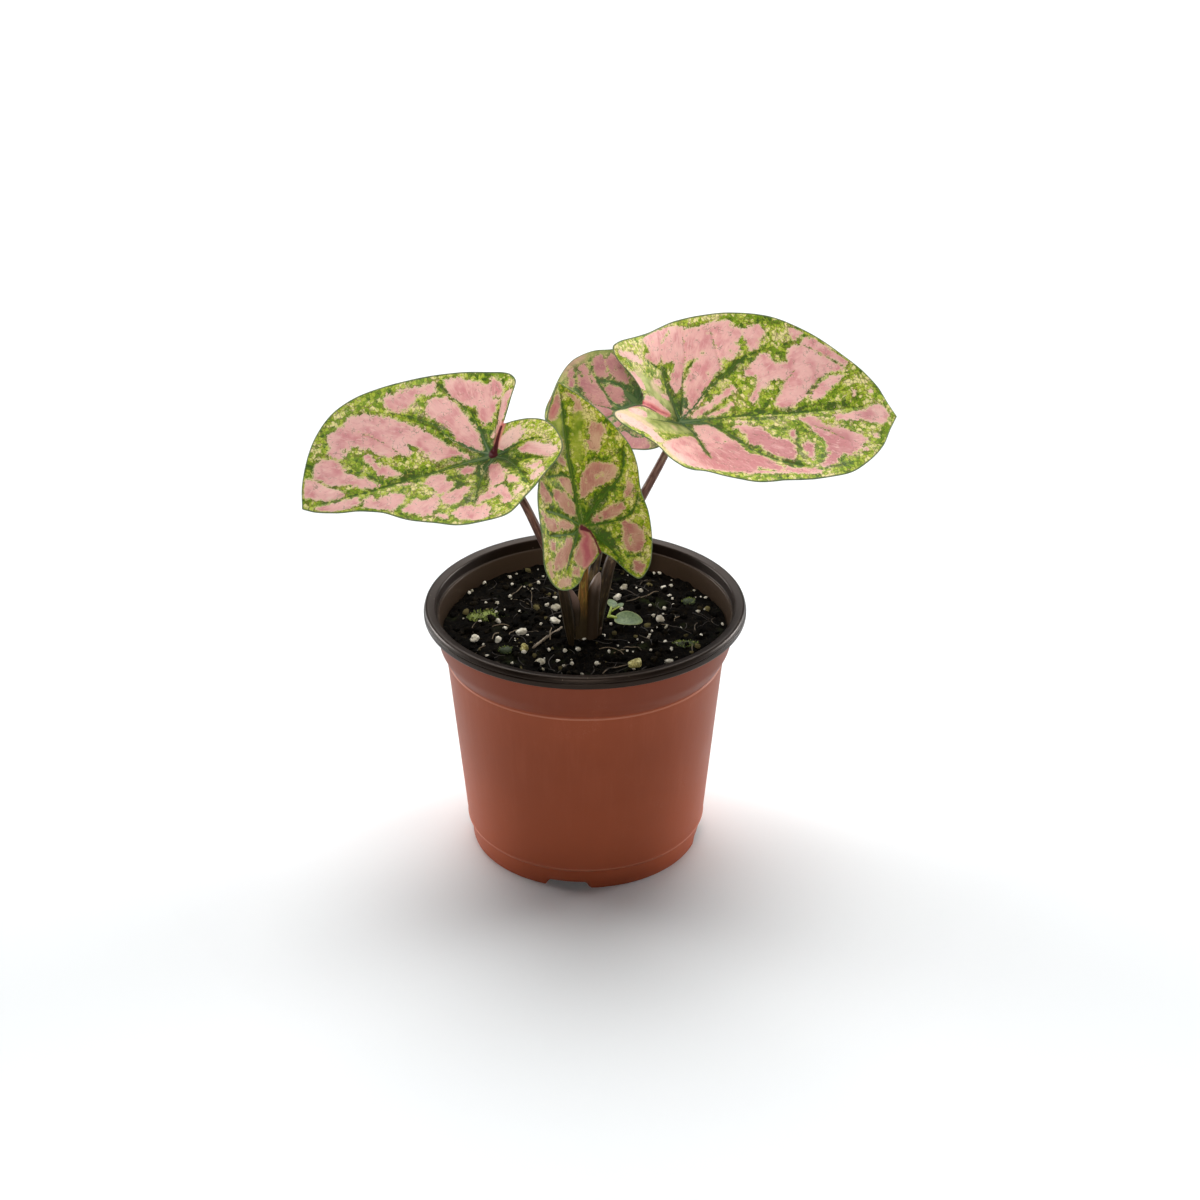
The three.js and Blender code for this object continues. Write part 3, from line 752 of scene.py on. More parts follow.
def lay_shoot(board):
    rise = board.value("rise")
    skin = streaked(board, (74, 57, 48), (48, 35, 26), (108, 90, 78), rise)
    foot = board.step(rise, 0.82, 0.98, 1.0, 0.0)
    return board.mix(foot, skin["Color"], colour(44, 32, 20)), skin["Roughness"], skin["Height"]


def lay_tuber(board):
    skin = streaked(board, (116, 88, 62), (74, 54, 38), (150, 120, 90), 0.6, board.place())
    return skin["Color"], 0.85, skin["Height"]


def lay_twig(board):
    skin = streaked(board, (128, 112, 94), (78, 66, 52), (170, 156, 134), 0.6)
    return skin["Color"], 0.8, skin["Height"]


# What build_blade stores on each leaf, by the names of the paint's inputs.
LEAF_MEASURES = [
    "Pink_Gap", "Vein_Gap", "Fringe_Gap", "Rim_Gap", "Stalk_Gap", "Pale", "Calm", "Deep", "Red", "Maroon",
]
# The front leaf is newer, with yellower green; its colours are also darker throughout and its pink browner,
# which is painted shade.
YOUNG_LEAF_PAINTED_SHADE_COLOURS = dict(
    Pink=(158, 114, 92), Deep_Pink=(142, 84, 76), Light_Pink=(176, 142, 112), Beige=(182, 156, 118),
    Dark_Green=(52, 78, 8), Green=(98, 122, 12), Bright_Green=(146, 154, 38), Cream=(190, 180, 108),
    Thread=(66, 58, 18), Calm_Deep=(88, 108, 18), Calm_Light=(136, 144, 46), Vein=(48, 80, 14),
    Flush=(172, 108, 100), Wine=(148, 72, 78),
)
# The leaf behind is shaded: mauve pink.
BACK_LEAF_COLOURS = dict(
    Pink=(176, 126, 120), Deep_Pink=(158, 104, 106), Light_Pink=(186, 142, 130), Beige=(180, 144, 124),
    Dark_Green=(64, 90, 42), Green=(102, 124, 58), Bright_Green=(150, 158, 82), Cream=(184, 180, 114),
    Thread=(92, 74, 56), Calm_Deep=(96, 112, 50), Calm_Light=(142, 146, 84), Vein=(54, 82, 46),
)


def leaf_paint(board, edge=0.12, **colours):
    """The paint on a leaf's own measures, with its own colours where they differ."""
    measures = {label: board.value(label.lower()) for label in LEAF_MEASURES}
    shades = {label: colour(*shade) for label, shade in colours.items()}
    place, fan = board.vector("flat_place"), board.vector("fan_place")
    return board.group("caladium_paint", Place=place, Fan=fan, Edge=edge, **measures, **shades)


def lay_leaf(board, **differences):
    paint = leaf_paint(board, **differences)
    return paint["Color"], paint["Roughness"], paint["Height"]


def lay_young_leaf_painted_shade(board):
    return lay_leaf(board, edge=0.4, **YOUNG_LEAF_PAINTED_SHADE_COLOURS)


def lay_back_leaf(board):
    return lay_leaf(board, **BACK_LEAF_COLOURS)


def lay_leaf_underside(board):
    """The same markings seen through the blade: paler and greyer, with raised veins."""
    paint = leaf_paint(board)
    shade = board.mix(0.42, paint["Color"], colour(160, 160, 132))
    shade = board.mix(board.step(board.value("vein_gap"), -0.4, 0.3), shade, colour(150, 156, 118))
    return shade, 0.6, paint["Height"]


LEAF_FINISH = finish_material("leaf_upper", lay_leaf, 0.22, Specular_IOR_Level=0.2)
YOUNG_LEAF_PAINTED_SHADE_FINISH = finish_material("young_leaf_painted_shade_upper", lay_young_leaf_painted_shade, 0.2, Specular_IOR_Level=0.1)
BACK_LEAF_FINISH = finish_material("shaded_leaf_upper", lay_back_leaf, 0.2, Specular_IOR_Level=0.15)
UNDERSIDE_FINISH = finish_material("leaf_underside", lay_leaf_underside, 0.2, Specular_IOR_Level=0.3)
STALK_FINISH = finish_material("stalk_skin", lay_stalk, 0.12, Specular_IOR_Level=0.2)
YOUNG_STALK_FINISH = finish_material("young_stalk_skin", lay_young_stalk, 0.1, Specular_IOR_Level=0.2)
SHOOT_FINISH = finish_material("shoot_skin", lay_shoot, 0.1, Specular_IOR_Level=0.2)
TUBER_FINISH = finish_material("tuber_skin", lay_tuber, 0.4)
TWIG_FINISH = finish_material("twig_bark", lay_twig, 0.1)
TERRACOTTA_FINISH = finish_material("terracotta_plastic", lay_terracotta, 0.03, Specular_IOR_Level=0.18)
BLACK_FINISH = finish_material(
    "black_plastic", lay_black_plastic, 0.03, Specular_IOR_Level=0.24, Specular_Tint=colour(255, 226, 206)
)
SOIL_FINISH = finish_material("potting_mix", lay_soil, 0.5, Specular_IOR_Level=0.03)
CRUMB_FINISH = finish_material("peat_crumbs", lay_crumbs, 0.3, Specular_IOR_Level=0.03)
FIBRE_FINISH = finish_material("peat_fibres", lay_fibres, 0.08)
PERLITE_FINISH = finish_material("perlite", lay_perlite, 0.15)
BARK_FINISH = finish_material("bark", lay_bark, 0.25)
MOSS_FINISH = finish_material("moss", lay_moss, 0.1)
SEEDLING_FINISH = finish_material("seedling_leaf", lay_seedling, 0.1)

# ---- Pot ----


def round_corners(corners, steps=4):
    """Replaces each corner (radius, height, rounding) by a short curve."""
    made = []
    for i, (across, height, rounding) in enumerate(corners):
        here = np.array([across, height])
        if rounding == 0 or i in (0, len(corners) - 1):
            made.append(here)
            continue
        before = np.array(corners[i - 1][:2]) - here
        after = np.array(corners[i + 1][:2]) - here
        enter = here + before * min(rounding / np.linalg.norm(before), 0.45)
        leave = here + after * min(rounding / np.linalg.norm(after), 0.45)
        for t in np.linspace(0, 1, steps + 1):
            made.append((1 - t) ** 2 * enter + 2 * t * (1 - t) * here + t**2 * leave)
    return np.array(made)


def split_long_steps(line, longest):
    made = [line[0]]
    for start, end in zip(line[:-1], line[1:]):
        parts = max(1, int(np.ceil(np.linalg.norm(end - start) / longest)))
        made.extend(start + (end - start) * t for t in np.linspace(0, 1, parts + 1)[1:])
    return np.array(made)


def build_pot():
    """A thermoformed shell: terracotta outside, black inside and over the rolled rim."""
    outside = [
        (0, FLOOR_HEIGHT, 0),
        (BASE_RADIUS - FOOT_WIDTH - 0.8, FLOOR_HEIGHT, 0.5),
        (BASE_RADIUS - FOOT_WIDTH, 0, 0.5),
        (BASE_RADIUS, 0, 0.7),
        (BASE_RADIUS + 0.6, FOOT_STEP_HEIGHT, 0.5),
        (BASE_RADIUS + 1.75, FOOT_STEP_HEIGHT + 1.2, 0.15),
        (BASE_RADIUS + 1.55, FOOT_STEP_HEIGHT + 1.4, 0.1),
        (LEDGE_RADIUS - 0.1, LEDGE_HEIGHT - 4.0, 1.0),
        (LEDGE_RADIUS + 0.4, LEDGE_HEIGHT, 0.1),
        (LEDGE_RADIUS + 0.1, LEDGE_HEIGHT + 0.35, 0.1),
        (LEDGE_RADIUS + 1.5, LEDGE_HEIGHT + 2.8, 0.9),
        (LEDGE_RADIUS + 2.5, LEDGE_HEIGHT + 5, 1.2),
        (LEDGE_RADIUS + 3.4, LEDGE_HEIGHT + 10.6, 1.5),
        (RIM_RADIUS - 3.4, RIM_TOP - 3.2, 0.3),
    ]
    over_rim = [
        (RIM_RADIUS - 0.9, RIM_TOP - 4.0, 0.4),
        (RIM_RADIUS - 0.05, RIM_TOP - 3.6, 0.4),
        (RIM_RADIUS, RIM_TOP - 1.9, 0.2),
        (RIM_RADIUS - 0.35, RIM_TOP - 1.7, 0.15),
        (RIM_RADIUS - 0.15, RIM_TOP - 1.4, 0.2),
        (RIM_RADIUS - 0.5, RIM_TOP - 0.4, 0.45),
        (RIM_RADIUS - 1.2, RIM_TOP, 0.5),
        (RIM_RADIUS - 3.9, RIM_TOP - 0.5, 0.5),
    ]
    inside = [
        (RIM_RADIUS - 4.3, RIM_TOP - 3.7, 0.2),
        (RIM_RADIUS - 4.9, RIM_TOP - 4.0, 0.2),
        (RIM_RADIUS - 5.2, RIM_TOP - 5.9, 0.5),
        (LEDGE_RADIUS + 1.2, LEDGE_HEIGHT + 5, 0.6),
        (LEDGE_RADIUS + 0.3, LEDGE_HEIGHT + 2.8, 0.6),
        (LEDGE_RADIUS - WALL, LEDGE_HEIGHT, 0.6),
        (BASE_RADIUS + 1.6 - WALL, FOOT_STEP_HEIGHT + 0.7, 0.4),
        (BASE_RADIUS + 0.5 - WALL, FOOT_STEP_HEIGHT, 0.4),
        (BASE_RADIUS - WALL, WALL, 0.3),
        (BASE_RADIUS - FOOT_WIDTH + WALL, WALL, 0.3),
        (BASE_RADIUS - FOOT_WIDTH, FLOOR_HEIGHT + WALL, 0.3),
        (0, FLOOR_HEIGHT + WALL, 0),
    ]
    profile = split_long_steps(round_corners(outside + over_rim + inside), 5.0)
    spokes = 360
    angles = np.arange(spokes) * FULL_TURN / spokes
    across, height = profile[1:-1, 0][:, None], profile[1:-1, 1][:, None]
    circle = np.stack([np.cos(angles), np.sin(angles), np.zeros(spokes)], axis=1)
    waver = roughness_of(circle * 30, [(22, 0.16), (9, 0.05)], 3)[None, :]
    waver = waver * smooth_step(height, 4, 30) * (1 - 0.6 * smooth_step(height, 70, 84))
    notch = np.zeros(spokes)
    for i in range(NOTCH_COUNT):
        turn = angles - np.radians(NOTCH_TURN + i * 360 / NOTCH_COUNT)
        aside = np.abs((turn + np.pi) % FULL_TURN - np.pi) * BASE_RADIUS
        notch = np.maximum(notch, NOTCH_HEIGHT * smooth_step(-aside, -NOTCH_HALF_BOTTOM, -NOTCH_HALF_TOP))
    height = np.maximum(height, notch[None, :] * (across > FLOOR_HOLE_CIRCLE + 5))
    wide = across + waver
    points = np.stack([wide * np.cos(angles), wide * np.sin(angles), height], axis=-1).reshape(-1, 3)
    rings = len(profile) - 2
    faces = ring_faces(rings, spokes)
    under, above = len(points), len(points) + 1
    points = np.vstack([points, [0, 0, FLOOR_HEIGHT], [0, 0, FLOOR_HEIGHT + WALL]])
    last = (rings - 1) * spokes
    faces += [[under, (i + 1) % spokes, i] for i in range(spokes)]
    faces += [[above, last + i, last + (i + 1) % spokes] for i in range(spokes)]
    lip = int(np.argmax(profile[:, 1] > RIM_TOP - 3.35)) - 1
    black = np.repeat(np.arange(rings - 1) >= lip, spokes)
    black = np.r_[black, np.zeros(spokes, bool), np.ones(spokes, bool)]
    finishes = [TERRACOTTA_FINISH, BLACK_FINISH]
    drill_floor(make_piece("pot_shell", Shape(points, faces), finishes, ["pot"], black))


def drill_floor(pot):
    """Cuts the drain holes through the raised floor."""
    drills = bmesh.new()
    for i in range(FLOOR_HOLES):
        turn = (i + 0.5) * FULL_TURN / FLOOR_HOLES
        centre = (np.array([np.cos(turn), np.sin(turn), 0]) * FLOOR_HOLE_CIRCLE + POT_AXIS) * MM
        centre[2] = FLOOR_HEIGHT * MM
        radius, spot = FLOOR_HOLE_RADIUS * MM, Matrix.Translation(Vector(centre))
        bmesh.ops.create_cone(
            drills, cap_ends=True, segments=40, radius1=radius, radius2=radius, depth=6 * MM, matrix=spot
        )
    mesh = bpy.data.meshes.new("drills")
    drills.to_mesh(mesh)
    drills.free()
    cutter = bpy.data.objects.new("drills", mesh)
    bpy.context.scene.collection.objects.link(cutter)
    cut = pot.modifiers.new("drain_holes", "BOOLEAN")
    cut.operation = "DIFFERENCE"
    cut.solver = "EXACT"
    cut.object = cutter
    ready = pot.evaluated_get(bpy.context.evaluated_depsgraph_get())
    pot.data = bpy.data.meshes.new_from_object(ready)
    pot.modifiers.clear()
    bpy.data.objects.remove(cutter)
    bpy.data.meshes.remove(mesh)


build_pot()

# ---- Camera, floor and light ----

camera_data = bpy.data.cameras.new("camera")
camera_data.lens = CAMERA_LENS
camera_data.sensor_width = SENSOR
camera_data.clip_end = 50
camera = bpy.data.objects.new("camera", camera_data)
bpy.context.scene.collection.objects.link(camera)
bpy.context.scene.camera = camera
camera_rise = np.radians(CAMERA_RISE)
camera_ahead = np.array([0, np.cos(camera_rise), -np.sin(camera_rise)])
camera_up = np.array([0, np.sin(camera_rise), np.cos(camera_rise)])
camera_spot = np.array(CAMERA_AIM) - camera_ahead * CAMERA_DISTANCE
camera.location = Vector(camera_spot * MM)
camera.rotation_euler = (np.pi / 2 - camera_rise, 0, 0)

bpy.context.scene.view_settings.view_transform = "Standard"


def lay_floor(board):
    grain = board.group("fine_grain", Place=board.place(), Grain_Size=1.5, Cloud_Size=300.0)
    return board.mix(grain["Clouds"], (0.91, 0.93, 0.935, 1), (0.93, 0.95, 0.955, 1)), 0.9, grain["Grain"]


def hang_lamp(name, kind, strength, spread, turn, rise, height=0.0):
    """Hangs a lamp, of a spread in degrees, towards turn and rise as seen from a height over the table."""
    lamp = bpy.data.lights.new(name, kind)
    lamp.energy = strength
    if kind == "SUN":
        lamp.angle = np.radians(spread)
    else:
        lamp.spot_size = np.radians(spread)
        lamp.spot_blend = 0.35
        lamp.shadow_soft_size = 0.12
    holder = bpy.data.objects.new(name, lamp)
    bpy.context.scene.collection.objects.link(holder)
    around, up = np.radians((turn, rise))
    source = Vector((np.cos(up) * np.cos(around), np.cos(up) * np.sin(around), np.sin(up)))
    holder.location = (source * LAMP_DISTANCE + Vector((0, 0, height))) * MM
    holder.rotation_euler = source.to_track_quat("Z", "Y").to_euler()


def build_studio():
    half = FLOOR_SIDE / 2 * MM
    mesh = bpy.data.meshes.new("floor")
    corners = [(-half, -half, 0), (half, -half, 0), (half, half, 0), (-half, half, 0)]
    mesh.from_pydata(corners, [], [(0, 1, 2, 3)])
    mesh.materials.append(finish_material("floor_paper", lay_floor, 0.01, Specular_IOR_Level=0.0))
    floor = bpy.data.objects.new("floor", mesh)
    bpy.context.scene.collection.objects.link(floor)

    world = bpy.data.worlds.new("studio")
    world.use_nodes = True
    backdrop = world.node_tree.nodes["Background"]
    backdrop.inputs["Color"].default_value = (0.8, 0.9, 1.0, 1)
    backdrop.inputs["Strength"].default_value = 0.035
    bpy.context.scene.world = world

    hang_lamp("overhead_lamp", "SUN", 3.3, 60, 92, 61)
    hang_lamp("leaf_lamp", "SPOT", 106, 7.8, -92, 26, LEAF_LAMP_HEIGHT)
    hang_lamp("right_lamp", "SUN", 3.8, 28, 28, 3)
    hang_lamp("left_lamp", "SUN", 3.8, 28, 152, 3)


build_studio()

# ---- Soil and what lies on it ----

SOIL_LAYERS = [(11.0, 0.7), (4.2, 0.6), (1.9, 0.42), (0.95, 0.24)]


def soil_height(x, y):
    x, y = np.atleast_1d(x).astype(float), np.atleast_1d(y).astype(float)
    from_axis = np.minimum(np.hypot(x, y) / SOIL_RADIUS, 1)
    dome = SOIL_LEVEL + SOIL_MOUND * (1 - from_axis**2)
    return dome + roughness_of(np.stack([x, y, 0 * x], axis=1), SOIL_LAYERS, 21)


def build_soil():
    """A rough disc of peat filling the pot, on a square grid pressed into a circle."""
    cells = 230
    line = np.linspace(-1, 1, cells + 1)
    a, b = (side.ravel() for side in np.meshgrid(line, line, indexing="ij"))
    steep = np.abs(a) > np.abs(b)
    near = np.where(steep, a, b)
    safe = np.where(near == 0, 1, near)
    turn = np.where(steep, np.pi / 4 * b / safe, np.pi / 2 - np.pi / 4 * a / safe)
    x, y = near * np.cos(turn) * SOIL_RADIUS, near * np.sin(turn) * SOIL_RADIUS
    top = np.stack([x, y, soil_height(x, y)], axis=1)
    faces = [face[::-1] for face in ring_faces(cells + 1, cells + 1, closed=False)]

    edge = [(i, 0) for i in range(cells)] + [(cells, i) for i in range(cells)]
    edge += [(cells - i, cells) for i in range(cells)] + [(0, cells - i) for i in range(cells)]
    above = np.array([i * (cells + 1) + j for i, j in edge])
    outward = top[above, :2] / np.linalg.norm(top[above, :2], axis=1)[:, None]
    points, start = [top], len(top)
    for radius, height in SOIL_SIDE:
        points.append(np.column_stack([outward * radius, np.full(len(above), height)]))
        below = np.arange(start, start + len(above))
        faces += np.column_stack([np.roll(above, -1), np.roll(below, -1), below, above]).tolist()
        above, start = below, start + len(below)
    faces.append(above.tolist()[::-1])
    make_piece("soil_bed", Shape(np.vstack(points), faces), [SOIL_FINISH], ["soil"])


build_soil()


def soil_spot(across, down):
    """Where the camera's line of sight through a spot of its view meets the soil."""
    focus = CAMERA_LENS / SENSOR * VIEW_SIDE
    side = (across - VIEW_SIDE / 2) / focus
    rise = (VIEW_SIDE / 2 - down) / focus
    sight = camera_ahead + side * np.array([1.0, 0, 0]) + rise * camera_up
    level = SOIL_LEVEL + 0.5
    for _ in range(4):
        spot = camera_spot - POT_AXIS + sight * (level - camera_spot[2]) / sight[2]
        level = soil_height(spot[0], spot[1])[0]
    return spot[0], spot[1], level


# Small perlite grains in the camera's view: across, down, half width in millimetres.
GRAIN_SPOTS = [
    (461, 592, 0.7), (471, 592, 0.6), (483, 584, 0.8), (510, 578, 0.9), (512, 585, 0.6), (524, 580, 0.5),
    (539, 584, 0.8), (543, 577, 0.5), (555, 598, 0.8), (547, 606, 0.7), (510, 597, 0.6), (497, 604, 0.7),
    (486, 603, 0.5), (496, 613, 0.6), (498, 623, 0.8), (505, 629, 0.7), (541, 625, 0.6), (475, 641, 0.9),
    (499, 641, 0.8), (483, 645, 0.5), (524, 653, 0.7), (512, 664, 0.6), (487, 656, 0.7), (549, 650, 0.6),
    (565, 652, 0.8), (578, 651, 0.9), (558, 662, 0.6), (564, 667, 0.7), (572, 665, 0.9), (543, 671, 0.7),
    (565, 673, 0.6), (582, 675, 0.6), (583, 635, 0.9), (584, 640, 0.7), (623, 588, 1.0), (616, 600, 0.8),
    (621, 609, 0.9), (641, 592, 0.8), (661, 573, 0.8), (654, 574, 0.6), (664, 589, 0.9), (671, 586, 0.7),
    (670, 597, 0.9), (709, 598, 0.6), (703, 586, 0.6), (664, 610, 0.9), (673, 606, 0.8), (698, 612, 0.7),
    (653, 617, 0.8), (657, 628, 0.6), (666, 628, 0.8), (611, 625, 0.6), (603, 637, 0.9), (649, 638, 0.7),
    (665, 642, 0.6), (701, 636, 0.6), (651, 651, 0.7), (671, 650, 0.7), (658, 656, 0.5), (634, 670, 0.6),
    (609, 653, 0.7), (597, 665, 0.9), (724, 626, 0.7), (650, 606, 0.5), (480, 622, 0.5), (520, 612, 0.6),
]

# The ten largest: place, half sizes.
LARGE_GRAINS = [
    ((-9.8, 9.8), (1.7, 1.3, 1.0)), ((-10.1, 1.9), (1.8, 1.4, 1.0)), ((-20.9, -6.6), (1.3, 1.8, 1.1)),
    ((-14.2, -24.9), (1.5, 1.3, 0.9)), ((-35.7, -11.3), (1.5, 1.4, 1.1)), ((-27.9, -11.1), (1.2, 1.2, 1.0)),
    ((24.7, 1.9), (1.4, 1.2, 0.9)), ((26.7, -25.2), (1.4, 1.0, 0.8)), ((13.0, 25.6), (1.3, 1.2, 0.9)),
    ((10.9, 16.5), (1.2, 1.4, 1.0)),
]
BARK_LUMPS = [((16.0, -27.5), (2.6, 1.7, 1.1)), ((-19.4, -18.2), (1.5, 1.4, 1.3))]
MOSS_TUFTS = {
    "left": ((-33.0, 6.0), (6.0, 4.0, 1.1)),
    "near": ((-25.2, -19.4), (2.4, 2.0, 1.6)),
    "right": ((32.5, -13.2), (4.0, 2.2, 0.9)),
    "far": ((34.6, 16.5), (2.2, 2.0, 1.5)),
}


def scatter(count, reach, away):
    """Random places on the soil as (x, y) within "reach" of the axis, "away" from the stalks."""
    places = []
    while len(places) < count:
        x, y = chance.uniform(-reach, reach, 2)
        if np.hypot(x, y) < reach and np.hypot(x - 1, y + 8) > away:
            places.append((x, y))
    return places


def lump_on_soil(place, half_sizes, seed, level, sink, dents=0.28):
    ground = soil_height(*place)[0]
    centre = (*place, ground + half_sizes[2] * (1 - 2 * sink))
    return pebble(centre, half_sizes, chance.uniform(0, np.pi), seed, level, dents)


def build_crumbs():
    crumbs = []
    for number, place in enumerate(scatter(CRUMB_COUNT, SOIL_RADIUS - 1.5, 3.0)):
        size = 0.35 + 1.1 * chance.random() ** 2.2
        half = size * chance.uniform((0.7, 0.6, 0.5), (1.3, 1.2, 0.9))
        crumbs.append(lump_on_soil(place, half, number, 1 if size < 0.8 else 2, 0.3, 0.4))
    make_piece("soil_crumbs", join_shapes(crumbs), [CRUMB_FINISH])


def build_fibres():
    fibres = []
    for place in scatter(FIBRE_COUNT, SOIL_RADIUS - 4, 2.0):
        length = chance.uniform(3, 11)
        heading = chance.uniform(0, FULL_TURN)
        bend = chance.uniform(-0.9, 0.9)
        radius = chance.uniform(0.07, 0.2)
        lift = chance.uniform(0, 0.8)
        stations = []
        for t in np.linspace(0, 1, 6):
            x = place[0] + length * (t - 0.5) * np.cos(heading + bend * t)
            y = place[1] + length * (t - 0.5) * np.sin(heading + bend * t)
            if np.hypot(x, y) > SOIL_RADIUS - 1:
                x, y = np.array([x, y]) * (SOIL_RADIUS - 1) / np.hypot(x, y)
            stations.append((x, y, soil_height(x, y)[0] + radius * 0.5 + lift * np.sin(np.pi * t), radius))
        fibres.append(rod(stations, 5, 9, tone=chance.random()))
    make_piece("soil_fibres", join_shapes(fibres), [FIBRE_FINISH])


def build_perlite():
    grains = []
    for number, (across, down, size) in enumerate(GRAIN_SPOTS):
        x, y, _ = soil_spot(across, down)
        inward = min(1, (SOIL_RADIUS - 1.5) / np.hypot(x, y))
        half = size * chance.uniform((0.65, 0.6, 0.6), (1.15, 1.05, 0.9))
        grains.append(lump_on_soil((x * inward, y * inward), half, number + 40, 2, 0.14, 0.5))
    for number, place in enumerate(scatter(FINE_GRAIN_COUNT, SOIL_RADIUS - 2, 5.0)):
        half = chance.uniform(0.25, 0.55) * chance.uniform((0.8, 0.8, 0.7), (1.2, 1.1, 1))
        grains.append(lump_on_soil(place, half, number + 140, 1, 0.1))
    make_piece("perlite_small", join_shapes(grains), [PERLITE_FINISH])
    for number, (place, half) in enumerate(LARGE_GRAINS):
        grain = lump_on_soil(place, half, number + 10, 3, 0.15, 0.42)
        stands_for = [f"perlite_grain_{number + 1}"]
        make_piece(f"perlite_{number + 1}", grain, [PERLITE_FINISH], stands_for)
    for number, (place, half) in enumerate(BARK_LUMPS):
        lump = lump_on_soil(place, half, number + 70, 3, 0.2, 0.35)
        make_piece(f"bark_{number + 1}", lump, [BARK_FINISH], [f"bark_chip_{number + 1}"])


def moss_leaflet(foot, lean, turn, size, tone):
    """A folded pointed leaflet of four triangles."""
    out = np.array([np.cos(turn) * np.sin(lean), np.sin(turn) * np.sin(lean), np.cos(lean)])
    side = np.array([-np.sin(turn), np.cos(turn), 0]) * size * 0.24
    fold = np.cross(side, out) / np.linalg.norm(side) * size * 0.08
    middle = foot + out * size * 0.5
    points = [foot, middle + side + fold, middle, middle - side + fold, foot + out * size]
    faces = [[0, 1, 2], [0, 2, 3], [2, 1, 4], [3, 2, 4]]
    return Shape(points, faces, rise=np.array([0, 0.5, 0.5, 0.5, 1.0]), tone=np.full(5, tone))


def build_moss():
    for number, (label, (place, half)) in enumerate(MOSS_TUFTS.items()):
        ground = soil_height(*place)[0]
        cushion = pebble((*place, ground), np.array(half) * (0.9, 0.9, 0.8), 0, number + 5, 3, 0.3)
        rise, tone = cushion.values["rise"] * 0.2, cushion.values["tone"]
        parts = [Shape(cushion.points, cushion.faces, rise=rise, tone=tone)]
        for _ in range(int(45 * half[0] * half[1] ** 0.5)):
            around = chance.uniform(0, FULL_TURN)
            out = np.sqrt(chance.random())
            x = place[0] + half[0] * out * np.cos(around)
            y = place[1] + half[1] * out * np.sin(around)
            dome = half[2] * 0.75 * np.sqrt(max(0.02, 1 - out**2))
            foot = np.array([x, y, soil_height(x, y)[0] * 0.5 + (ground + dome) * 0.5 - 0.2])
            lean, turn = chance.uniform(0.2, 1.3), chance.uniform(0, FULL_TURN)
            parts.append(moss_leaflet(foot, lean, turn, chance.uniform(0.6, 1.3), chance.random()))
        make_piece(f"moss_{label}", join_shapes(parts), [MOSS_FINISH], [f"moss_tuft_{label}"])


def small_leaf(centre, half_length, half_width, turn, tilt, roll):
    """An oval leaf with a shallow fold, both faces. It is turned, tilted and rolled by degrees."""
    rings, spokes = 9, 36
    angles = np.arange(spokes) * FULL_TURN / spokes
    points, rise = [], []
    for face in (1, -1):
        for ring in np.linspace(0.02, 1, rings):
            along = np.cos(angles) * ring * half_length
            across = np.sin(angles) * ring * half_width * (1 - 0.18 * np.cos(angles))
            height = 0.16 * across**2 / half_width + face * 0.14 * (1 - ring**6) - 0.02 * along**2
            points.append(np.stack([along, across, height], axis=1))
            rise.append(np.full(spokes, ring if face == 1 else 0.5))
    points = turned(np.vstack(points), np.radians(roll), 1, 2)
    points = turned(turned(points, np.radians(tilt), 0, 2), np.radians(turn))
    lower_start = rings * spokes
    faces = ring_faces(rings, spokes) + [list(range(spokes))[::-1]]
    faces += [face[::-1] for face in ring_faces(rings, spokes, lower_start)]
    faces.append(list(range(lower_start, lower_start + spokes)))
    top_rim, low_rim = lower_start - spokes, 2 * lower_start - spokes
    for i in range(spokes):
        j = (i + 1) % spokes
        faces.append([top_rim + i, top_rim + j, low_rim + j, low_rim + i])
    values = dict(place=points, rise=np.concatenate(rise), tone=np.full(len(points), 0.3))
    return Shape(points + np.array(centre), faces, **values)


def build_seedling():
    stems = [
        [(7.2, 3.6, 76.8, 0.5), (7.8, 3.2, 79.4, 0.45), (8.4, 4.6, 80.8, 0.4), (8.6, 6.6, 81.2, 0.35)],
        [(7.4, 3.4, 78.2, 0.5), (8.4, 1.4, 80.0, 0.5), (10.2, -0.6, 80.6, 0.4)],
        [(8.4, 4.2, 80.2, 0.3), (10.2, 6, 80.6, 0.3), (11.2, 7.4, 80.4, 0.3)],
    ]
    parts = [rod(stem, 12, 14, tone=0.95) for stem in stems]
    parts.append(small_leaf((14.1, -2.0, 80.9), 4.9, 2.8, -20, 2, 26))
    parts.append(small_leaf((8.8, 7.6, 81.6), 2.3, 1.7, 100, 12, 10))
    parts.append(small_leaf((11.6, 8, 80.6), 1.3, 1.0, 40, 20, 10))
    make_piece("seedling", join_shapes(parts), [SEEDLING_FINISH], ["weed_seedling"])


def build_twig():
    stations = [
        (-16.6, -17.0, 78.4, 0.35), (-12.0, -10.6, 79.0, 0.45), (-9.4, -7.0, 78.9, 0.4),
        (-7.6, -3.6, 78.7, 0.3),
    ]

    def knots(angles, along):
        return 1 + 0.25 * np.sin(along * 31) ** 4 + 0.12 * np.cos(3 * angles + along * 20)

    make_piece("twig_stick", rod(stations, 14, 70, knots), [TWIG_FINISH], ["twig"])


build_crumbs()
build_fibres()
build_perlite()
build_moss()
build_seedling()
build_twig()

# ---- Leaves ----

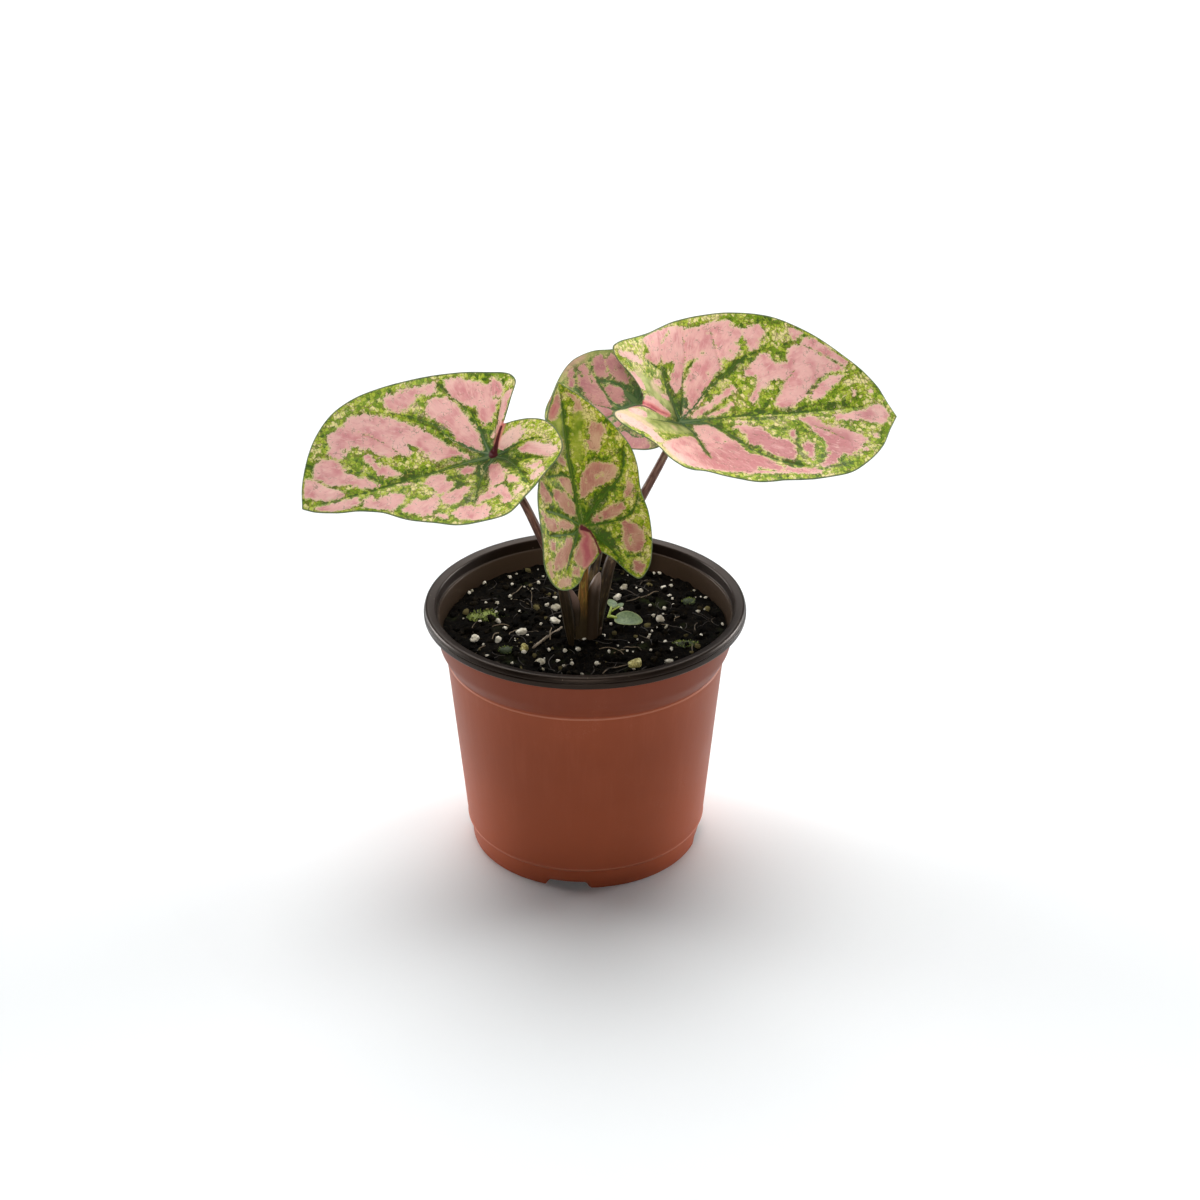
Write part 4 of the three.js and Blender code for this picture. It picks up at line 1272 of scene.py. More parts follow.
# A leaf lies flat in (u, v): u towards the tip, v to its left, the stalk at (0, 0), and is bent as a
# fan of ribs from the stalk. azimuth, rise and roll turn it; fold lifts the sides, lift the back lobes,
# skew one lobe against the other; front, back, skewed and side curl those parts, in 1/m.
# rings and spokes count the points of its upper face, under_rings and spokes those of its lower face.
# Its stalk is a chain of (x, y, z, radius). Its patches are closed outlines (u, v), and its veins and
# other markings are strokes, chains of (u, v, half width).
LEFT_LEAF = dict(
    finish=LEAF_FINISH,
    seed=31,
    stalk_top=(-27.7, -18.0, 145.9),
    azimuth=201, rise=-7, roll=-38,
    fold=0.45, lift=0.9, skew=-0.25,
    front=-1.0, back=-6.0, skewed=0.0, side=3.0,
    rings=125, spokes=440, under_rings=36,
    stalk=[
        (-3.4, -12, 60, 0.8), (-4.4, -13.4, 77.5, 0.95), (-4.7, -13.4, 83, 1.7), (-5.6, -13.4, 90, 1.9),
        (-7.9, -13.8, 102, 1.65), (-14.2, -14.5, 118, 1.4), (-19.2, -16.4, 130.4, 1.25),
        (-24, -17.4, 139.4, 1.2),
    ],
    left_edge=[
        (60.6, -0.6), (57.6, 1.7), (51.5, 4.2), (43.5, 6.4), (38.5, 8.6), (33.2, 13.4), (26, 18.4),
        (21.2, 23.3), (14.1, 27.2), (7.3, 30.3), (-0.3, 28), (-9.1, 23.9), (-18.4, 18.4), (-22.1, 14.3),
        (-23.2, 6.8), (-21.8, 0.9), (-18.1, -3.5), (-13, -6.9), (-7.5, -9),
    ],
    right_edge=[
        (60.6, -0.6), (58.3, -7.9), (53.5, -16.5), (49.2, -21.4), (43.5, -25.4), (36.7, -27.5),
        (28.8, -28.1), (19.8, -27.9), (9.2, -27.3), (0.5, -26.8), (-10.6, -25.2), (-14.5, -23.3),
        (-16.2, -20.3), (-14, -17.3), (-10.8, -13.1), (-7.5, -9),
    ],
    veins=[
        [(0, 0, 0.8), (10, -0.3, 0.55), (20, 0, 0.45), (40, 0.3, 0.3), (60, -0.4, 0.12)],
        [(1, -1, 0.6), (2.5, -8, 0.35), (4, -14, 0.3), (6.5, -17, 0.3), (9, -20, 0.25), (12.5, -25, 0.1)],
        [(1, -1, 0.6), (5, -3, 0.35), (8, -5.5, 0.35), (11, -8, 0.35), (15, -13.5, 0.3), (22, -18, 0.25),
         (27, -20.3, 0.2), (34, -23, 0.1)],
        [(27, -8.5, 0.05), (30, -12, 0.12), (34, -15.5, 0.12), (37.5, -18, 0.05)],
        [(35, -1, 0.15), (40, -6, 0.2), (43, -9, 0.2), (46, -12, 0.15), (48.5, -13.8, 0.1)],
        [(47.5, -2.5, 0.1), (51, -5, 0.15), (55, -9.8, 0.08)],
        [(0.5, 1, 0.7), (4, 4, 0.5), (8, 9, 0.5), (12, 16, 0.3), (14, 19, 0.1)],
        [(-0.5, 1, 0.7), (-3, 5, 0.5), (-4.3, 12, 0.5), (-4.5, 20, 0.3), (-4, 25, 0.1)],
        [(-1, 0.5, 0.6), (-5, 1.8, 0.4), (-10, 2.2, 0.4), (-14, 3.6, 0.4), (-17, 5.6, 0.35),
         (-19.3, 9, 0.15)],
        [(-3, 4, 0.2), (-8, 9, 0.2), (-12, 12, 0.3), (-14, 14.5, 0.25), (-12.5, 16.8, 0.15)],
        [(-1, -2, 0.3), (-3, -9, 0.15), (-5, -13, 0.25), (-7.5, -16, 0.1)],
    ],
    fringes=[
        [(10, -2, 1.2), (14, -2.6, 1.0), (20, -1, 1.3), (27, -1.5, 1.6), (33, 0, 1.0)],
        [(3, 2, 1.4), (6, 6, 2.0), (8, 12, 2.4), (13, 15.5, 2.0), (16, 16.5, 1.2)],
        [(-2, 4, 1.6), (-4, 10, 2.2), (-5, 17, 1.6), (-3, 23, 0.9)],
        [(10.5, -8, 0.9), (13, -11.5, 1.3), (17, -15, 1.4), (22, -18.3, 0.9)],
        [(2.5, -13.8, 1.0), (5, -16, 0.8)], [(10, -21.5, 0.5), (12, -24, 1.1)],
        [(14, 3, 1.5), (13, 7.5, 1.2), (16.5, 8.8, 0.5)], [(-8, 9, 1.5), (-12, 12, 0.6)],
        [(36.5, -2.5, 0.8), (41, -7, 0.5)], [(46, -1, 0.9)],
    ],
    patches=[
        [(0.5, -10.3), (-1.7, -11.3), (-4, -14), (-6.5, -17.2), (-9.8, -19), (-10, -22.5), (-6, -24),
         (-2.5, -22.3), (-0.5, -23.6), (3, -24.2), (6, -25.4), (10.3, -25.6), (10.6, -22), (7.8, -18.3),
         (4.5, -16.3), (2.3, -16.3), (2.3, -12.8)],
        [(-4.3, -9), (-6, -12), (-7.5, -15.5), (-9.5, -18), (-15.4, -19.3), (-15.4, -17.3), (-11.2, -15.5),
         (-10.4, -12.2), (-7.3, -10.6)],
        [(3, -2.8), (3.2, -7), (4.5, -11), (6, -14.3), (8.5, -18.3), (10.6, -20.3), (12.5, -20),
         (14.5, -21), (16.2, -19.6), (17, -17.4), (15.3, -14.8), (13.2, -11.3), (10.8, -8), (8, -5.3),
         (5.2, -3)],
        [(7, -1.5), (10, -4.3), (13.5, -7.8), (17, -11.3), (20, -13.9), (24, -16.8), (28, -19.3),
         (31, -20.5), (35, -22.4), (39.5, -22.9), (41, -21), (43.5, -20.4), (46.6, -19.6), (46.6, -15.7),
         (48, -14.6), (45.3, -12.3), (43, -12.4), (44, -14.3), (40, -14.4), (36, -12.5), (34, -10.4),
         (31, -8.4), (27.5, -8.7), (26, -7.4), (24, -7.5), (24.3, -10.8), (22.3, -9.4), (20.3, -7),
         (19, -4.7), (17.3, -3), (14, -2.4), (10.5, -1.6)],
        [(28.5, -1.8), (31, -4.5), (32.5, -5.9), (34.6, -5.9), (35.6, -4), (33.5, -2.9), (30.5, -1.9)],
        [(36.5, -0.7), (38, -2.5), (40, -4.2), (43, -5.5), (45, -8), (45.4, -10.5), (47, -12.6),
         (50.5, -13.6), (53, -12.2), (54.2, -10.3), (54.4, -8.8), (52, -7), (49.5, -4.9), (46, -3.9),
         (43, -2.5), (41, -1), (38.5, -0.6)],
        [(47.5, -0.6), (47.7, -2.4), (50, -3.9), (52.6, -5.5), (54, -8), (56.5, -9.2), (58.6, -6),
         (58.8, -3.4), (55.5, -2.3), (53.5, -0.8), (50, -0.3)],
        [(18.3, -23.4), (20, -21), (22, -20), (25, -20.2), (27, -21.4), (28.2, -23.3), (28, -25),
         (26.5, -25.7), (25, -24.8), (23, -25.5), (20.5, -25.2), (16, -25.4), (13, -25.3), (13.4, -22.8),
         (15, -22), (16.2, -23.4)],
        [(2.8, 2.1), (1, 4.5), (0.2, 8), (0.4, 11.5), (1, 14), (2.2, 16.6), (4, 16.3), (5.5, 15.5),
         (6.9, 14.5), (6.1, 11.8), (5.3, 9), (5.4, 5.5), (4.7, 3.3)],
        [(3, 17.8), (3.3, 22), (3.1, 25), (4.5, 26.9), (6.3, 25.2), (6, 22), (5.6, 20.5), (8, 20.5),
         (9.8, 19.6), (12.9, 18.6), (12.4, 16), (10.3, 15.4), (9, 17), (6.9, 15.2), (5.4, 17)],
        [(-2, 20.6), (-0.5, 20.2), (1.2, 18.5), (1.3, 16.4), (-0.5, 15.3), (-1.6, 17.5)],
        [(10.6, 23.5), (12, 26), (14.5, 26.2), (17.5, 23.7), (19.6, 21), (20.1, 18.4), (17, 16.9),
         (14.5, 18.3), (13.2, 20.5), (11, 21)],
        [(11.4, 10.3), (14, 12.5), (17, 15.1), (19.5, 14.8), (20.7, 12.5), (20.6, 9.6), (17, 9.4),
         (13, 9.3)],
        [(21, 10.3), (22, 12), (24, 14), (25.5, 15), (28, 14.6), (30, 12.7), (32.8, 10.6), (32, 9.5),
         (29.5, 8.9), (27.5, 7.7), (26.3, 9.3), (24.5, 9.2), (21.5, 9.1)],
        [(16, 7.6), (14.8, 6), (17.3, 4.4), (16, 2.5), (17.5, 0.9), (21, 0.8), (22.9, 3.3), (21.4, 5.5),
         (21.1, 8), (18.5, 8.7)],
        [(30.2, 5.3), (32, 7.5), (34.5, 9.1), (37.5, 8.3), (40, 7), (43.2, 5), (42.3, 2.8), (40, 2.3),
         (39.5, 4.5), (36.5, 3.9), (33, 3.4)],
        [(43.6, 3.8), (46, 4.1), (50, 4.2), (54, 3.5), (57.6, 1.2), (56, 0.6), (52.5, 0.7), (50.5, 1.2),
         (46, 1.4), (44, 1.2)],
        [(6.4, 2.2), (8, 4.3), (10.5, 4.3), (12.1, 3), (11.6, 1.5), (9, 1.2)],
        [(-20, 13), (-19.5, 15.6), (-17, 16), (-15, 14.6), (-13.4, 11.6), (-11, 9), (-8.9, 6.6), (-9, 5),
         (-13, 4.7), (-15, 6), (-16.5, 8.4), (-19, 11)],
        [(-4, 0.6), (-9, 1.2), (-13, 0.8), (-14.9, -0.6), (-14, -3.5), (-10.5, -5.2), (-6, -5.2),
         (-3.2, -2.5)],
    ],
    pink=[
        [(22.3, 18.7, 0.5), (23.6, 16.8, 0.8)], [(35.3, -6, 0.5), (37, -9.7, 1.1)], [(28.3, 1.3, 0.5)],
        [(-1.5, -6.4, 0.5), (-4, -7.9, 0.7), (-6.5, -10, 0.9)], [(0.6, 9, 0.5), (0, 12, 0.5)],
        [(-12, 16, 0.6), (-9.5, 17.2, 1.2), (-8, 15.8, 0.8)], [(12, -1.6, 0.4), (17, -2.2, 0.4)],
        [(-11, 20, 1), (-7, 22, 1.2)], [(-0.5, 24.3, 1.2), (1.6, 25, 0.8)],
    ],
    specks=[
        [(-7, -17.3, 0.4), (-6, -18.5, 0.3)], [(-5, -18, 0.4)], [(16, -20, 0.5)], [(19, -23.3, 0.3)],
        [(21, -3.5, 0.3), (23.5, -8.5, 0.3)], [(26.5, 15.1, 0.5)], [(7.5, 18, 0.4)], [(-10, 10.5, 0.5)],
        [(41.5, -21.6, 0.5)], [(18.5, -6, 0.3)], [(-14, -1.2, 0.4)],
    ],
    pale=[
        [(-20, 13, 4.0), (-20, 7, 5.5), (-18, 1, 5.5), (-13, -4, 4)], [(-11, 0, 4), (-7, -4, 3)],
        [(-8, 15, 2.2)], [(-1, 25, 3.0), (-8, 21, 3.5)], [(-13, -21, 1.2)], [(22, -5, 2.2), (18, -3, 1.0)],
        [(1, 13, 0.8)], [(-9, -17, 1)], [(24, 7, 1.2)],
    ],
    calm=[],
    deep=[],
    red=[[(-2.8, -3.6, 0.6), (-5, -6, 0.5), (-7.5, -8.6, 0.3)]],
    maroon=[[(-0.3, -0.3, 1.5), (-1.8, -2.2, 1.1), (-4, -5.2, 0.7), (-6.5, -8.2, 0.4)]],
)
RIGHT_LEAF = dict(
    finish=LEAF_FINISH,
    seed=47,
    stalk_top=(29.6, 2.0, 148.7),
    azimuth=5, rise=4, roll=37,
    fold=0.35, lift=1.0, skew=0.1,
    front=-3.0, back=-3.0, skewed=1.5, side=8.0,
    rings=135, spokes=480, under_rings=40,
    stalk=[
        (2.6, -6, 60, 1.8), (2.9, -6.6, 77.5, 2.4), (4.2, -6.2, 86, 2.3), (5.7, -5.6, 92, 2.1),
        (7.9, -5, 102, 1.85), (12.6, -3.5, 113.9, 1.55), (18.4, -2, 125.2, 1.4), (24.2, -0.6, 136.4, 1.25),
    ],
    left_edge=[
        (70.2, -1.8), (68, 2.7), (65.4, 8.3), (61.1, 13.5), (55, 18.5), (48.4, 23.3), (40.2, 27.6),
        (32.8, 30.2), (21.2, 31.7), (12.5, 31.8), (-1.1, 31.3), (-19.5, 27.7), (-32.5, 21), (-36.4, 16.3),
        (-34.4, 12), (-29.1, 8.6), (-23.8, 4.5), (-21, -0.3), (-20.8, -4.1),
    ],
    right_edge=[
        (70.2, -1.8), (67.3, -6.4), (63.4, -13.2), (57.1, -19.3), (50.6, -23.7), (39.8, -26.8),
        (30.4, -28.4), (20.4, -30.5), (13.9, -31), (5.9, -32.9), (-3.6, -37.2), (-10, -34.8), (-15, -28.8),
        (-25.6, -27), (-33.4, -23), (-34.9, -19.3), (-28.2, -11.8), (-20.8, -4.1),
    ],
    veins=[
        [(0, 0, 0.7), (10, 0, 0.4), (20, 0.3, 0.4), (34, 0.2, 0.35), (44, 0.6, 0.3), (53, 1.2, 0.2),
         (60, 2, 0.12)],
        [(0.5, 0.5, 0.5), (5, 4, 0.3), (10, 9, 0.4), (15, 12.8, 0.45), (20, 16.5, 0.4), (25, 19.3, 0.35),
         (30, 20.8, 0.2), (37, 22.2, 0.15), (41, 23.3, 0.08)],
        [(0, 1, 0.6), (-2, 6, 0.5), (-4.5, 12, 0.5), (-6.3, 17, 0.45), (-6.7, 21, 0.15)],
        [(-6.5, 17, 0.3), (-12, 18.5, 0.25), (-17, 19.8, 0.15)],
        [(1.2, 2, 0.2), (2.3, 8, 0.18), (3, 14, 0.15), (4.5, 20, 0.1), (4.3, 27, 0.05)],
        [(3.5, 14.5, 0.15), (7.5, 18.6, 0.3)], [(15.6, 13.5, 0.2), (15, 20, 0.12), (14.3, 26, 0.06)],
        [(1, -0.5, 0.5), (9, -1.6, 0.35), (12, -3.5, 0.35), (15.5, -6.5, 0.35), (18, -9.5, 0.35),
         (21, -13.5, 0.35), (26, -17.5, 0.3), (31, -19.6, 0.3), (38, -21, 0.15)],
        [(1, -1, 0.4), (4.3, -6, 0.35), (6.3, -13, 0.4), (8.2, -21, 0.15)],
        [(0, -0.8, 0.7), (-5, -3.5, 0.5), (-12, -8, 0.3), (-18, -12, 0.1)],
        [(42.5, 21.7, 0.06), (46, 20.2, 0.15), (50, 18.2, 0.12), (54.5, 15, 0.12), (61, 12, 0.08),
         (66, 6, 0.05)],
        [(31.5, 5, 0.12), (35, 10.5, 0.15), (38.5, 14, 0.08)],
        [(41.5, 6.5, 0.2), (45, 10.2, 0.2), (49, 13, 0.2)],
        [(24, 29.3, 0.1), (27, 28.3, 0.15), (36, 28.2, 0.1)],
        [(8, 0.9, 0.1), (12, 3.2, 0.15), (17, 6.4, 0.1)],
        [(42, -4.5, 0.1), (47, -7, 0.15), (53, -11, 0.06)], [(22, 15, 0.15), (25, 15.2, 0.1)],
    ],
    fringes=[
        [(0, 1, 1.6), (-1.5, 6, 2.6), (-4.5, 12, 1.8), (-6.5, 18, 1.2)],
        [(9, 8, 0.9), (14, 12.5, 1.5), (19, 15.5, 1.5), (24, 18.8, 0.8)],
        [(12, -2.5, 0.9), (16.5, -7, 1.0), (19, -11.5, 1.0), (23, -15, 1.2), (28, -18.5, 1.4),
         (36, -20.5, 1.2)],
        [(22, 1.2, 0.9), (35, 1, 1.1), (46, 1.8, 1.5), (54, 2.6, 1.4)], [(43, 7, 0.7), (47, 12, 0.7)],
        [(4.5, -8, 0.9), (6.5, -15, 1.1), (7.8, -20, 0.7)], [(20, -1.5, 0.8), (32, -1.6, 0.9)],
        [(28, -5.8, 0.7), (33, -5.6, 0.8)], [(44, -22, 0.8), (52, -19.5, 1.0)],
        [(36, -10, 0.7), (36.5, -17, 1.0)],
    ],
    patches=[
        [(-19, 26.5), (-14, 29.6), (-8, 30.4), (-1, 30.5), (4, 29.2), (9, 28.5), (14, 29.2), (20, 29.8),
         (20.5, 27.5), (23.3, 27), (23.2, 25), (21.3, 23), (22, 20.7), (19.5, 18.2), (17, 18.3),
         (15.6, 17.5), (15.7, 15), (12.9, 13.5), (12.3, 11), (10, 9.5), (8, 6.5), (4.7, 3.3), (3.8, 4.5),
         (2.9, 10), (4.2, 14), (6, 16.2), (8.2, 18.6), (5.8, 18.8), (4.2, 17.8), (3, 14.2), (1.6, 10.3),
         (-1, 9), (-3, 10), (-4.2, 11.8), (-2.4, 13.5), (-1.8, 15.5), (0, 18), (-1, 19.3), (-5, 19.4),
         (-6.3, 20.8), (-8, 19.8), (-11, 18.8), (-14, 19.5), (-18, 20.1), (-17.5, 21.2), (-14, 22),
         (-14.5, 23.5), (-17.5, 24.8)],
        [(1.3, 1.3), (2.3, 3.9), (3.6, 3.3), (2.8, 1.6)],
        [(24, 24), (23.8, 26), (26, 27.4), (29, 28), (30, 26.5), (29.8, 24), (28.4, 23.5), (27.5, 21),
         (25.4, 20.6), (24.8, 22)],
        [(38.3, 25.3), (39, 27), (41, 26.9), (42.6, 25.4), (41.5, 24), (39.5, 23.5)],
        [(41.5, 22), (43, 24), (46, 23.7), (48.5, 22), (50, 20.6), (53, 19.3), (56.5, 16.5), (55, 15.2),
         (52, 17), (49, 18.3), (46, 20), (43.5, 21)],
        [(22.4, 13), (22.7, 14.7), (25.5, 16.5), (27, 18.6), (30, 19.3), (33, 16.6), (36.5, 16.8), (37, 19),
         (38.5, 21.3), (42, 21.8), (44, 21.2), (46, 19.6), (50, 17.6), (54.5, 14.8), (54, 14), (50, 13.5),
         (48, 12), (46, 10.6), (44, 9.6), (42.5, 8), (41.5, 6), (39.5, 4.5), (36.5, 2.8), (35, 1.5),
         (33, 1.7), (31.2, 3), (31.8, 5.5), (34, 8.5), (35.5, 11), (33.5, 11.8), (30.5, 11.5), (28.5, 9.5),
         (26, 7.5), (25.5, 5), (23.8, 3.7), (23.4, 5.5), (24.8, 8), (26.5, 11), (26.5, 12.6)],
        [(43, 5), (42.8, 7), (45, 9.5), (48, 11), (51, 12.4), (54, 12), (52.5, 10.5), (50, 8.8), (48, 7),
         (46, 4.9), (44.5, 4.4)],
        [(49.4, -1.3), (50.5, -3), (54, -3.3), (57, -3), (60, -3.8), (63.5, -4.9), (66, -4), (67.2, -1),
         (66, 1.6), (63.5, 2.6), (61.5, 2), (60, 0.5), (57, 0.2), (54.5, -0.8), (52, -0.6)],
        [(38, -1.8), (40.5, -4.5), (42, -7.5), (44.5, -10), (45, -13), (44.2, -16), (45, -17.5),
         (42.5, -19.5), (42, -21.5), (44, -22.3), (46.5, -20.5), (47.5, -18.3), (50, -16), (52.5, -17),
         (55, -15.5), (57, -12.5), (58.5, -10.5), (56.5, -8.6), (54, -8), (51.5, -6), (47, -5.5), (45, -4),
         (43, -2), (40.5, -1.3)],
        [(16.4, -4), (18, -5), (20, -7.5), (20.5, -10), (21.5, -12), (24, -12), (25, -14.5), (27.5, -17),
         (30.5, -18.3), (33.5, -18.6), (34.8, -16), (34.6, -13), (33.5, -10.4), (31, -10.3), (28, -9.5),
         (26.5, -7), (24.5, -5), (21.5, -4.5), (18.5, -3.5)],
        [(37.2, -14), (38, -11.5), (39.5, -10.2), (40.9, -12), (40.5, -15), (40, -18.2), (38.4, -17),
         (38, -15)],
        [(4.4, -2), (9, -2.3), (11, -3.9), (13, -6), (15, -8.5), (17, -10.6), (18, -12.6), (18.5, -14.6),
         (20, -16.6), (23, -17), (26, -18.6), (27, -20.6), (29, -22), (30, -23.5), (28.4, -24.4),
         (31, -25.3), (25, -26.3), (20, -27), (15, -27.7), (10, -29.3), (6, -31.3), (2, -33), (-2, -35),
         (-5, -34.6), (-9, -31.6), (-11.5, -28), (-10.5, -24), (-8, -21), (-6, -18), (-3, -15), (0, -11.6),
         (3, -9.6), (5, -10), (5.4, -6.5), (4.3, -4.5)],
        [(30.4, -21.5), (33, -22.5), (37, -22.2), (40, -22.4), (41.6, -23.5), (40, -25), (36, -24.9),
         (32, -25.2), (30, -24.2)],
        [(-34, 15.9), (-31, 17.5), (-28, 18.5), (-24, 18.3), (-20.6, 17.5), (-22, 15.6), (-26, 15.2),
         (-30, 14.9), (-33, 14.4)],
        [(-28.6, 9), (-26, 10), (-21.4, 7.6), (-20.6, 5), (-23, 2.6), (-25.8, 4.6)],
        [(-21.3, -1), (-20, 2), (-15, 4.2), (-10, 2.3), (-6.2, 0.8), (-8, -2.8), (-14, -4), (-20.5, -5.5)],
    ],
    pink=[
        [(5, 1.5, 0.5), (9, 3.5, 0.8), (13, 6, 0.8), (18, 9.2, 0.8)],
        [(9.5, 1.2, 0.3), (14, 2.1, 0.7), (17, 4.2, 0.5)], [(35, -7.3, 0.9), (35, -9, 1.0)],
        [(62, -9, 0.9)], [(57.5, -14.3, 0.8)], [(18, -2.3, 0.6), (20, -2.5, 0.4)],
        [(-13.5, 11.8, 0.8), (-10, 12.5, 1.1)], [(-9, 7.5, 0.9), (-5.5, 7.6, 0.9)],
        [(-32, -20, 2.2), (-26, -21, 3.4), (-18, -21.5, 3.4), (-14, -24, 3.0)],
        [(-26, -12, 2.2), (-20, -10.5, 1.8)], [(57, 6.5, 0.5)], [(62.5, 6.7, 0.6)],
    ],
    specks=[
        [(-13, 26.3, 0.4), (-11.6, 26.4, 0.5)], [(-6.8, 26.2, 0.4), (-5.4, 27, 0.5)],
        [(-4, 27.8, 0.25), (-2.2, 28.5, 0.5)], [(10.3, 20.3, 0.4)], [(11, 14, 0.3)], [(4.8, 28.6, 0.4)],
        [(22.3, -24.6, 0.8), (26.5, -24.8, 0.5)], [(45.3, -15.8, 0.6)], [(13.2, -10.2, 0.35)],
        [(22.3, -24, 0.4)], [(35, 18.2, 1.3)], [(49.5, 13.2, 0.4)], [(26, 12.8, 0.5)], [(12.8, 26.2, 0.2)],
        [(21, 22.5, 0.4)], [(19, 20.4, 0.3)], [(52.5, -16.3, 0.4), (56, -14.8, 0.5)],
    ],
    pale=[
        [(-35, 17, 2), (-28, 20, 3.5), (-20, 23, 3.0), (-24, 14, 3)],
        [(-33, -20, 4), (-25, -18, 5), (-17, -21, 5), (-12, -27, 4), (-6, -33, 3)], [(10, -30, 1.5)],
        [(62, 6, 2.4)], [(60, 11, 1.8)], [(64, -1, 0.5)], [(28, 10, 1.0)], [(9, 5.2, 0.8)], [(-23, -12, 3)],
        [(-4, -8, 1)], [(0, 30.6, 1)], [(35, 24.5, 2)], [(5, 30.5, 0.8), (18, 30.8, 0.8)],
        [(-8, 10, 2), (-14, 10, 2)], [(20, -2, 1.5)], [(60, -7, 1.5)],
    ],
    calm=[
        [(-30, -18, 6), (-12, -10, 5), (0, -6, 2)], [(-5, -30, 5)],
        [(-24, 9, 2), (-14, 7, 3.5), (-6, 3, 2)],
    ],
    # The deep strokes paint shade over the near half and the tip.
    deep=[[(10, -24, 7), (28, -14, 9), (48, -14, 6)], [(60, -1, 1)]],
    red=[
        [(-21.5, -3.4, 0.6), (-16, -2.6, 1.3), (-11, -2, 0.6), (-7, -0.8, 0.2)],
        [(-29, -11, 0.1), (-24, -6.6, 0.4)],
    ],
    maroon=[
        [(-29, -11.5, 0.2), (-24.5, -7.6, 0.3), (-20, -4.9, 0.2), (-14, -4.3, 0.1)],
        [(-21.6, 1.5, 0.2), (-21.8, -3, 0.3)],
    ],
)
